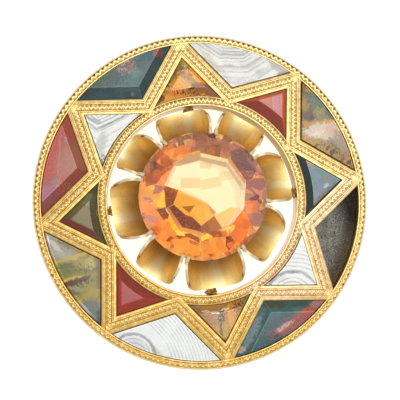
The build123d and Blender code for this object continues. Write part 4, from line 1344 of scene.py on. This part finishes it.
        Patch(-3.3, 22.1, 1.3, 0.8, 0, "#767E75", 1, 0.4),
        Patch(-3.5, 21.3, 1, 0.7, 30, "#8A5858", 0.8, 0.5),
        Patch(-2.3, 21, 0.8, 0.6, 0, "#996D50", 0.8, 0.5),
        Patch(-2.6, 20.3, 4, 0.7, -22, "#9D9864", 0.9, 0.5),
        Patch(-2.3, 19.6, 2.3, 0.8, -10, "#C7AC64", 0.8, 0.5),
        Patch(-5.3, 20.7, 6.3, 0.8, 57, "#8D7B34", 0.9, 0.5),
        Patch(0.6, 18.5, 5.7, 1.7, -18, "#8A5531", 0.95, 0.4),
        Patch(1.5, 18.5, 2.7, 1.2, -25, "#8D604B", 0.8, 0.6),
        Patch(-1.6, 18.2, 3.3, 1.3, -5, "#A76013", 0.9, 0.5),
        Patch(-4.5, 18, 3.3, 1.3, 10, "#E38411", 0.9, 0.5),
        Patch(-7.6, 16.7, 2.3, 1.3, 30, "#613916", 0.9, 0.5),
        Patch(-6.1, 18.6, 0.7, 1, 0, "#E8BA55", 0.8, 0.5),
        Patch(-1.9, 18.7, 1.2, 0.43, 22, "#461908", 1, 0.4),
        Patch(-4.3, 17.9, 0.4, 0.43, 0, "#5D1904", 0.9, 0.4),
        Patch(-3.3, 18.2, 0.4, 0.5, 0, "#5D1904", 0.9, 0.4),
        Patch(-5.5, 18.6, 0.4, 0.4, 0, "#F6BFA7", 0.9, 0.4),
        Patch(-2.9, 18, 6, 1.2, -8, "#461808", 1, 0.7, 0.53),
        Patch(-5.3, 20, 7, 1.3, 57, "#4B4213", 0.9, 0.7, 0.52),
        Patch(-2.3, 21.5, 3.7, 3, 0, "#CB5314", 0.8, 0.8, 0.53),
        Patch(-3.6, 19.4, 3.3, 2, 0, "#FFBF64", 0.8, 0.8, 0.52),
        Patch(-2.9, 22.5, 2, 1.7, 0, "#616D24", 0.8, 0.7, 0.52)
    ]),
    "banded_agate_inner_upper_left": Stone("#F4F5F2", "#EBECE7", 0.4, 0.8, (0.9, 0.9, 0.85), [
        Patch(-12.7, 10.7, 5.7, 1.3, 52, "#E1D0AC", 0.85, 0.8),
        Patch(-17.1, 8.7, 1.7, 5, -18, "#BCBEB6", 0.8, 0.8),
        Patch(-16.6, 6.3, 1.2, 2, -10, "#7D7762", 0.9, 0.7, 0.42),
        Patch(-10.8, 14, 1.5, 0.8, 30, "#CDAC93", 0.6, 0.6),
        Patch(-18.3, 13, 3, 0.8, -25, "#9EA09E", 0.7, 0.7)
    ], [
        Bands(-17.2, 16.5, 0.53, 0.8, "#8D959C", 0.75, 2.4, 5.0, (232, 298)),
        Bands(-17.2, 16.5, 0.75, 0.8, "#B4B8B8", 0.6, 5.4, 9, (235, 300)),
        Bands(-17.2, 16.5, 0.9, 0.8, "#606B73", 0.8, 3.5, 4.6, (232, 298))
    ]),
    "green_jasper_inner_left": Stone("#69682A", "#6E6528", 0.5, 0.8, (
        (0.68, 0.64, 0.46), (0.8, 0.55, 0.46), (0.46, 0.43, 0.28)), [
        Patch(-19, -0.3, 2.3, 1.5, 50, "#84875C", 0.8, 0.7),
        Patch(-19.9, -2.1, 2.7, 1.2, 0, "#7D683A", 0.7, 0.7),
        Patch(-18.4, -4, 1.8, 1, 0, "#7D582B", 0.7, 0.7),
        Patch(-20.8, -4.5, 7.3, 1.2, -25, "#7D2D21", 0.9, 0.5),
        Patch(-17.5, -2.2, 0.4, 1.2, 0, "#C8BC94", 0.6, 0.6),
        Patch(-18, 1.4, 1.3, 1.3, 0, "#4D3E1F", 0.6, 0.7),
        Patch(-18.9, -1.3, 4.3, 3.7, 30, "#A2A278", 0.5, 0.8, 0.54),
        Patch(-19.6, -2.6, 4.3, 2, 0, "#A24C2D", 0.6, 0.8, 0.55)
    ]),
    "red_jasper_inner_lower_left": Stone("#A82814", "#9D2311", 0.5, 0.8, (
        (0.98, 1.5, 1.15), (0.88, 1.3, 1), (0.7, 1, 0.75)), [
        Patch(-11.3, -16.7, 1.2, 1, 0, "#822316", 0.7, 0.6),
        Patch(-9.6, -15.9, 2, 1, -20, "#BB2C19", 0.6, 0.7),
        Patch(-10.4, -16.5, 3, 0.8, 10, "#A82719", 0.6, 0.8)
    ]),
    "moss_agate_inner_bottom": Stone("#BD8231", "#A06917", 0.7, 0.9, (0.9, 0.9, 0.9), [
        Patch(-1.9, -17.6, 3.3, 1.3, -20, "#836E57", 0.9, 0.5),
        Patch(5.9, -17, 3.7, 1.5, 22, "#CC7F1E", 0.9, 0.5),
        Patch(0.8, -17.6, 4.7, 0.8, 3, "#BD8622", 0.9, 0.5),
        Patch(4.6, -19.2, 1.5, 3.7, 0, "#E89D42", 0.95, 0.5),
        Patch(0.3, -19.7, 3.3, 1, -48, "#9C6539", 0.8, 0.5),
        Patch(2.1, -19.5, 1.5, 1.7, 0, "#988B6D", 0.7, 0.6),
        Patch(3, -19.7, 1, 3.3, 0, "#393A46", 0.9, 0.5),
        Patch(2.9, -21.8, 3.3, 2.2, 40, "#BD9736", 0.95, 0.4),
        Patch(2.9, -21.5, 0.5, 2.7, 10, "#393439", 0.8, 0.5),
        Patch(1.2, -18.6, 3.3, 0.32, -7, "#EADFCA", 1, 0.2),
        Patch(3.4, -18.2, 1.8, 0.25, 14, "#EADFCA", 1, 0.2),
        Patch(7.1, -16.5, 1.5, 1, 40, "#6F7D46", 0.8, 0.5),
        Patch(5.9, -17.3, 0.5, 0.5, 0, "#1B110F", 0.9, 0.4),
        Patch(3.9, -23.1, 1.2, 0.7, 0, "#5E3A13", 0.8, 0.5),
        Patch(6, -19.9, 0.8, 2, -20, "#B16C22", 0.8, 0.5),
        Patch(-0.1, -17.1, 2, 0.5, 0, "#4F3719", 0.8, 0.5),
        Patch(3.1, -19.5, 6, 5.3, 0, "#5E3311", 0.8, 0.8, 0.55),
        Patch(3.1, -20.5, 5.7, 5, 0, "#DAAB61", 0.8, 0.8, 0.54),
        Patch(6.1, -17.3, 3, 1.7, 30, "#3E3011", 0.9, 0.7, 0.5)
    ]),
    "banded_agate_inner_lower_right": Stone("#F5F7F4", "#EDEFED", 0.4, 0.8, (0.9, 0.9, 1), [
        Patch(12.3, -13.2, 3, 1.2, 24, "#DBDBCD", 0.7, 0.8),
        Patch(14.8, -13.7, 5.7, 0.5, 0, "#DDE1D1", 0.7, 0.6)
    ], [
        Bands(14.1, -21.6, 0.67, 0.25, "#B4B8B8", 0.75, 10, 14.3),
        Bands(14.9, -16.5, 1.6, 0.2, "#797F8D", 1, 4.1, 5.2),
        Bands(14.9, -16.5, 0.6, 0.25, "#A8ACA8", 0.8, 1.3, 3.8)
    ]),
    "bloodstone_inner_right": Stone("#547D7E", "#5F8089", 0.5, 0.8, (
        0.9, (0.9, 0.75, 0.6), (0.12, 0.13, 0.09)), [
        Patch(21, 3.6, 0.7, 1, 20, "#996D75", 0.9, 0.5),
        Patch(19.3, 1.2, 0.8, 1.5, -45, "#8C7D84", 0.7, 0.6),
        Patch(20.8, 2.5, 1.2, 0.7, 40, "#B4C4CC", 0.85, 0.5),
        Patch(17.9, 6.1, 2.3, 0.8, -38, "#9D856D", 0.8, 0.6),
        Patch(20.6, 0.9, 7, 0.9, 43, "#60463C", 0.85, 0.5),
        Patch(19.5, 4.1, 1, 0.7, 0, "#6994A4", 0.6, 0.7),
        Patch(20.3, 3.1, 3.3, 3.7, 0, "#A2757A", 0.8, 0.8, 0.54),
        Patch(20.2, 3.4, 4, 4.3, 0, "#2C5C4F", 0.7, 0.8, 0.55),
        Patch(19.2, 3.6, 4.5, 1, -62, "#74789A", 0.6, 0.8)
    ], ridge=2.6),
    "red_jasper_inner_upper_right": Stone("#CD7457", "#C5715B", 0.5, 0.7, (
        (0.85, 0.52, 0.4), (0.85, 0.5, 0.38), (0.44, 0.16, 0.05)), [
        Patch(10.5, 17.5, 2, 2, 0, "#CC8766", 0.7, 0.8),
        Patch(12.5, 16.8, 4.7, 0.8, 90, "#C1828D", 0.9, 0.6),
        Patch(11.9, 16.8, 4, 0.27, 90, "#E19D92", 0.6, 0.7),
        Patch(13.2, 16.8, 4, 0.27, 90, "#D7897F", 0.6, 0.7)
    ]),
}


BAND_FADE = 0.2     # over which a group of growth bands starts and ends, on either side


def stone_finish(name, stone):
    """
    A polished stone. Two ground colours mix by a noise, patches lie on them inside warped ellipses with
    mottled edges or as clusters of grains, and bands follow the sine of a warped distance. Dark and light
    grains lie over all. Each face is then multiplied by its tint: painted shade on the walls and the darker
    bevels, painted reflection on the lighter bevels and a painted highlight on the ridge round the table.
    """
    paint = Paint(name)
    where = paint.place()
    ragged = paint.warped(where, 1.1, stone.ragged)
    cloud = paint.noise(where, stone.cloud_scale, 5, 0.6)
    middle = paint.noise(where, 1.7, 4, 0.6)
    fine = paint.noise(where, 4.0, 5, 0.75)
    speck = paint.noise(paint.spot(where, 0.0, 0.0, 0.0, (0.7, 1.4, 1.0)), 3.2, 3, 0.6)
    mottle = fine * 1.5 + middle * 1.3 - 1.4
    coats = [(stone.clouds, (cloud * 1.2 + fine * 0.6 - 0.4).step(0.2, 0.8))]
    for patch in stone.patches:
        mask = spread(paint, ragged, patch, mottle)
        if patch.specks:
            mask = mask * speck.step(patch.specks, patch.specks + 0.05)
        coats.append((patch.colour, mask))
    for bands in stone.bands:
        bent = paint.spot(paint.warped(where, 0.3, bands.bend), bands.x, bands.y, 0.0, (1.0, 1.0, FLAT))
        reach = paint.cornered(bent, bands.sides) if bands.sides else paint.measure("LENGTH", bent)
        wave = ((reach + cloud * bands.pitch * 0.8) * (2 * math.pi / bands.pitch)).sine()
        zone = (reach.step(bands.inner - BAND_FADE, bands.inner + BAND_FADE)
                * reach.step(bands.outer + BAND_FADE, bands.outer - BAND_FADE))
        worn = (fine * 0.4 + cloud).step(0.35, 0.85)
        coats.append((bands.colour, wave.step(0.0, 1.0, bands.strength) * zone * worn))
    dark = [0.35 * part for part in hue(stone.clouds)]
    light = [min(1.0, 2.2 * part + 0.04) for part in hue(stone.ground)]
    coats.append((dark, (fine * 1.6 - 0.75).step(0.1, 0.6, stone.grain)))
    coats.append((light, (0.62 - fine * 1.3).step(0.0, 0.4, stone.grain * 0.8)))
    # painted light per face: shade on walls and bevels, reflection on pale bevels, highlight on the ridge
    colour = paint.mix(paint.coats(stone.ground, *coats), paint.tint("shade"), 1.0, "MULTIPLY")
    return paint.finish(base_color=colour, roughness=0.10 + fine * 0.05, ior=1.54,
                        normal=paint.bump(cloud + fine * 0.2, 0.01))


# Operators

class EngravedRing(NamedTuple):
    """A round engraved band."""
    name: str
    inner: float
    outer: float
    middle: float         # of its engraved strip
    lines: tuple          # fine lines, by their distances from the strip's edges
    edge: float           # size of its rounded edges
    films: tuple          # tarnish in the notches on the inner and the outer side
    pitch: str            # which size gives the length of a swing


ENGRAVED_RINGS = [
    EngravedRing("rim", RIM_INNER, RIM_RADIUS, RIM_INNER + 0.74, (-0.1, 0.08), 0.16,
                 (0.27, 0.5), "rim_pitch"),
    EngravedRing("ring", OPENING_RADIUS, RING_OUTER, (OPENING_RADIUS + RING_OUTER) / 2, (-0.16, 0.16), 0.12,
                 (0.27, 0.27), "band_pitch"),
]
SWING_STEPS = 10                       # sections in one swing of an engraved line
RING_BEHIND = 0.05                     # how far the rings reach behind the back plate
PLATE_INNER, PLATE_OUTER = OPENING_RADIUS + 0.3, RIM_RADIUS - 0.5
PLATE_EDGE, PLATE_STEPS = 0.05, 256


class BROOCH_OT_plate(bpy.types.Operator):
    """Builds the back plate, the engraved rim and the engraved ring"""
    bl_idname = "brooch.plate"
    bl_label = "Plate, rim and ring"

    def execute(self, context):
        sizes = context.scene.brooch_sizes
        depth = sizes.engraving_depth / MM
        gold = gold_finish(context.scene.brooch_colours, "engraved gold")
        for ring in ENGRAVED_RINGS:
            profile = engraved_profile(ring.inner, ring.outer, Z_BACK - RING_BEHIND, Z_FACE, ring.middle,
                                       sizes.engraved_width / 2 / MM, ring.lines, ring.edge)
            swings = round(2 * math.pi * ring.middle * MM / getattr(sizes, ring.pitch))
            shell = revolved(profile, swings * SWING_STEPS, 0j, swings, depth, ring.films)
            make_piece("engraved_" + ring.name, [shell], "frame", gold)
        plate = plain_profile(PLATE_INNER, PLATE_OUTER, Z_BACK, Z_BED, PLATE_EDGE)
        make_piece("back_plate", [revolved(plate, PLATE_STEPS)], "frame", gold)
        return {"FINISHED"}


STAR_LINES = (-0.42, -0.17, 0.17, 0.42)        # fine lines, by their distances from the strip's edges
STAR_EDGE, STAR_LINE_FILM, STAR_FILM = 0.1, 0.4, 0.25
STAR_STEPS = 170                               # sections between two corners
STAR_SUNK, STAR_ROOT = 0.02, 0.2               # of its face under the rim's, and of its foot in the plate
STAR_REACH, STAR_PLAIN = RIM_RADIUS - 0.7, RIM_INNER - 0.4


class BROOCH_OT_star(bpy.types.Operator):
    """Builds the eight-pointed star of engraved bands"""
    bl_idname = "brooch.star"
    bl_label = "Star"

    def execute(self, context):
        sizes = context.scene.brooch_sizes
        profile = engraved_profile(-STAR_BAND / 2, STAR_BAND / 2, Z_BED - STAR_ROOT, Z_FACE - STAR_SUNK, 0.0,
                                   sizes.engraved_width / 2 / MM, STAR_LINES, STAR_EDGE, STAR_LINE_FILM)
        corners = np.array([point for pair in zip(TIPS, ROOTS) for point in pair])
        shell = mitred(profile, corners, STAR_STEPS, sizes.band_pitch / MM, sizes.engraving_depth / MM,
                       STAR_REACH, STAR_PLAIN, STAR_FILM)
        make_piece("engraved_star", [shell], "frame",
                   gold_finish(context.scene.brooch_colours, "engraved star gold"))
        return {"FINISHED"}


FOOT_EDGE, FOOT_STEPS = 0.08, 96


class BROOCH_OT_collet(bpy.types.Operator):
    """Builds the foot ring, the eight fluted petals, the claws and the solder"""
    bl_idname = "brooch.collet"
    bl_label = "Fluted collet"

    def execute(self, context):
        colours = context.scene.brooch_colours
        thickness = context.scene.brooch_sizes.sheet_thickness / MM
        gold = gold_finish(colours, "claw gold")
        petals = petal_finish(colours)
        for index, petal in enumerate(PETALS):
            make_piece("petal_" + petal.name, [petal_shell(index, thickness)], "frame", petals)
        claws = [claw_shell(petal.slit_azimuth, side) for petal in PETALS for side in (-1, 1)]
        make_piece("claws", claws, "frame", petals)
        foot = plain_profile(FOOT_RADIUS - FOOT_WALL, FOOT_RADIUS, 0.0, FOOT_HEIGHT, FOOT_EDGE)
        make_piece("foot_ring", [revolved(foot, FOOT_STEPS, CENTRE)], "frame", gold)
        solder = [solder_shell(petal, seed) for seed, petal in enumerate(PETALS)
                  if petal.solder_azimuth is not None]
        make_piece("solder", solder, "frame", solder_finish())
        return {"FINISHED"}


def dress(node, material):
    """Puts a material on every slot of a CAD node."""
    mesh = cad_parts[node].data
    for index in range(len(mesh.materials)):
        mesh.materials[index] = material
    if not mesh.materials:
        mesh.materials.append(material)


class BROOCH_OT_citrine(bpy.types.Operator):
    """Gives the faceted citrine its glass"""
    bl_idname = "brooch.citrine"
    bl_label = "Citrine"

    def execute(self, context):
        dress("citrine", citrine_finish(context.scene.brooch_colours))
        return {"FINISHED"}


STONE_SHARP = 8.0     # degrees


class BROOCH_OT_slabs(bpy.types.Operator):
    """Builds the fifteen flat stones with polished edges"""
    bl_idname = "brooch.slabs"
    bl_label = "Flat stones"

    def execute(self, context):
        softness = context.scene.brooch_sizes.edge_softness
        for slab in SLABS:
            stone = STONES[slab.node]
            make_piece(slab.node + "_stone", [slab_shell(slab)], slab.node,
                       stone_finish(slab.node.replace("_", " "), stone), STONE_SHARP, softness,
                       slab_shades(stone.shades, stone.ridge))
        return {"FINISHED"}


class BROOCH_OT_cement(bpy.types.Operator):
    """Builds the rough cement in the empty cell"""
    bl_idname = "brooch.cement"
    bl_label = "Cement"

    def execute(self, context):
        make_piece("cement_rough", [cement_shell()], "cement_bed", cement_finish(), sharp=60.0)
        return {"FINISHED"}


class BROOCH_OT_pin(bpy.types.Operator):
    """Gives the pin on the back its gold"""
    bl_idname = "brooch.pin"
    bl_label = "Pin"

    def execute(self, context):
        dress("brooch_pin", gold_finish(context.scene.brooch_colours, "pin gold"))
        return {"FINISHED"}


class BROOCH_OT_stage(bpy.types.Operator):
    """Sets the pale floor, the softbox, the room's light and the camera"""
    bl_idname = "brooch.stage"
    bl_label = "Stage"

    def execute(self, context):
        stage = context.scene.brooch_stage
        context.scene.view_settings.view_transform = "Standard"
        make_floor(stage.floor_glow)
        make_world(stage.surround)
        # The camera sees the softbox mirrored in the tables of the flat stones and not in their bevels. In
        # the citrine's table its image would veil the stone, which has lights of its own.
        make_light("softbox", SOFTBOX, stage.softbox, True)
        for light in CITRINE_LIGHTS:
            make_light("citrine light", light, stage.citrine_light, False)
        context.scene.camera = make_camera()
        return {"FINISHED"}


# Stage

CAMERA_AZIMUTH, CAMERA_TILT, CAMERA_DISTANCE = 221.2, 7.25, 117.0
IMAGE_SIZE, FOCAL_PIXELS, SENSOR = 400, 702.7, 36.0
FACE_CENTRE_PIXEL = (203.26, 199.36)
CLIP = (0.005, 5.0)
FLOOR_SIDE = 4.0          # half its side, in metres


def make_camera():
    """The camera over the face's centre, tilted towards its azimuth, with the brooch's top upwards."""
    tilt, azimuth = math.radians(CAMERA_TILT), math.radians(CAMERA_AZIMUTH)
    away = Vector((math.sin(tilt) * math.cos(azimuth), math.sin(tilt) * math.sin(azimuth), math.cos(tilt)))
    up = (Vector((0, 1, 0)) - away * away.y).normalized()
    right = up.cross(away)
    place = (Vector((0, 0, Z_FACE)) + away * CAMERA_DISTANCE) * MM
    data = bpy.data.cameras.new("camera")
    data.sensor_width = SENSOR
    data.lens = FOCAL_PIXELS * SENSOR / IMAGE_SIZE
    data.shift_x = (IMAGE_SIZE / 2 - FACE_CENTRE_PIXEL[0]) / IMAGE_SIZE
    data.shift_y = (FACE_CENTRE_PIXEL[1] - IMAGE_SIZE / 2) / IMAGE_SIZE
    data.clip_start, data.clip_end = CLIP
    camera = bpy.data.objects.new("camera", data)
    camera.matrix_world = Matrix.Translation(place) @ Matrix((right, up, away)).transposed().to_4x4()
    bpy.context.scene.collection.objects.link(camera)
    return camera


def make_floor(glow):
    """A wide pale floor that glows a little, as on a light table."""
    mesh = bpy.data.meshes.new("floor")
    signs = [(-1, -1), (1, -1), (1, 1), (-1, 1)]
    mesh.from_pydata([(x * FLOOR_SIDE, y * FLOOR_SIDE, 0) for x, y in signs], [], [(0, 1, 2, 3)])
    floor = bpy.data.objects.new("floor", mesh)
    bpy.context.scene.collection.objects.link(floor)
    paint = Paint("pale floor")
    mesh.materials.append(paint.finish(base_color=(0.9, 0.9, 0.9, 1.0), roughness=0.9,
                                       emission_color=(1.0, 1.0, 1.0, 1.0), emission_strength=glow))


def make_world(strength):
    """An even, slightly warm light from all round."""
    world = bpy.data.worlds.new("room")
    bpy.context.scene.world = world
    world.use_nodes = True
    background = world.node_tree.nodes["Background"]
    background.inputs["Color"].default_value = (1.0, 0.99, 0.97, 1.0)
    background.inputs["Strength"].default_value = strength


class Light(NamedTuple):
    """A round light: its place and diameter in metres."""
    x: float
    y: float
    z: float
    diameter: float


SOFTBOX = Light(0.024, 0.021, 0.25, 0.156)
CITRINE_LIGHTS = [
    Light(-0.045, -0.045, 0.25, 0.08),
    Light(-0.09, -0.10, 0.22, 0.13),
    Light(0.03, -0.07, 0.25, 0.09),
]


def make_light(name, place, radiance, spared):
    """
    A round area light that faces the brooch's middle, with its power as its radiance times pi times its
    area. It lights the whole scene but for the citrine, or only the citrine.
    """
    away, diameter = Vector(place[:3]), place.diameter
    data = bpy.data.lights.new(name, "AREA")
    data.shape, data.size = "DISK", diameter
    data.energy = radiance * math.pi * math.pi * diameter ** 2 / 4
    light = bpy.data.objects.new(name, data)
    light.location = away
    light.rotation_euler = away.to_track_quat("Z", "Y").to_euler()
    bpy.context.scene.collection.objects.link(light)
    citrine = bpy.data.collections.new(name + " and the citrine")
    citrine.objects.link(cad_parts["citrine"])
    citrine.collection_objects[0].light_linking.link_state = "EXCLUDE" if spared else "INCLUDE"
    light.light_linking.receiver_collection = citrine


# Panel and registration

class BROOCH_PT_panel(bpy.types.Panel):
    """Lists the brooch's sizes, colours and pieces"""
    bl_idname = "BROOCH_PT_panel"
    bl_label = "Hardstone brooch"
    bl_space_type = "VIEW_3D"
    bl_region_type = "UI"
    bl_category = "Brooch"

    def draw(self, context):
        for group in (context.scene.brooch_sizes, context.scene.brooch_colours, context.scene.brooch_stage):
            box = self.layout.box()
            for name in group.__annotations__:
                box.prop(group, name)
        for operator in OPERATORS:
            self.layout.operator(operator.bl_idname)


OPERATORS = [BROOCH_OT_plate, BROOCH_OT_star, BROOCH_OT_collet, BROOCH_OT_citrine, BROOCH_OT_slabs,
             BROOCH_OT_cement, BROOCH_OT_pin, BROOCH_OT_stage]
GROUPS = {"brooch_sizes": BroochSizes, "brooch_colours": BroochColours, "brooch_stage": BroochStage}


def register():
    for cls in [*GROUPS.values(), *OPERATORS, BROOCH_PT_panel]:
        bpy.utils.register_class(cls)
    for name, group in GROUPS.items():
        setattr(bpy.types.Scene, name, PointerProperty(type=group))


def unregister():
    for name in GROUPS:
        delattr(bpy.types.Scene, name)
    for cls in [BROOCH_PT_panel, *OPERATORS, *GROUPS.values()][::-1]:
        bpy.utils.unregister_class(cls)


def main():
    register()
    bpy.ops.brooch.plate()
    bpy.ops.brooch.star()
    bpy.ops.brooch.collet()
    bpy.ops.brooch.citrine()
    bpy.ops.brooch.slabs()
    bpy.ops.brooch.cement()
    bpy.ops.brooch.pin()
    bpy.ops.brooch.stage()


if __name__ == "__main__":
    main()
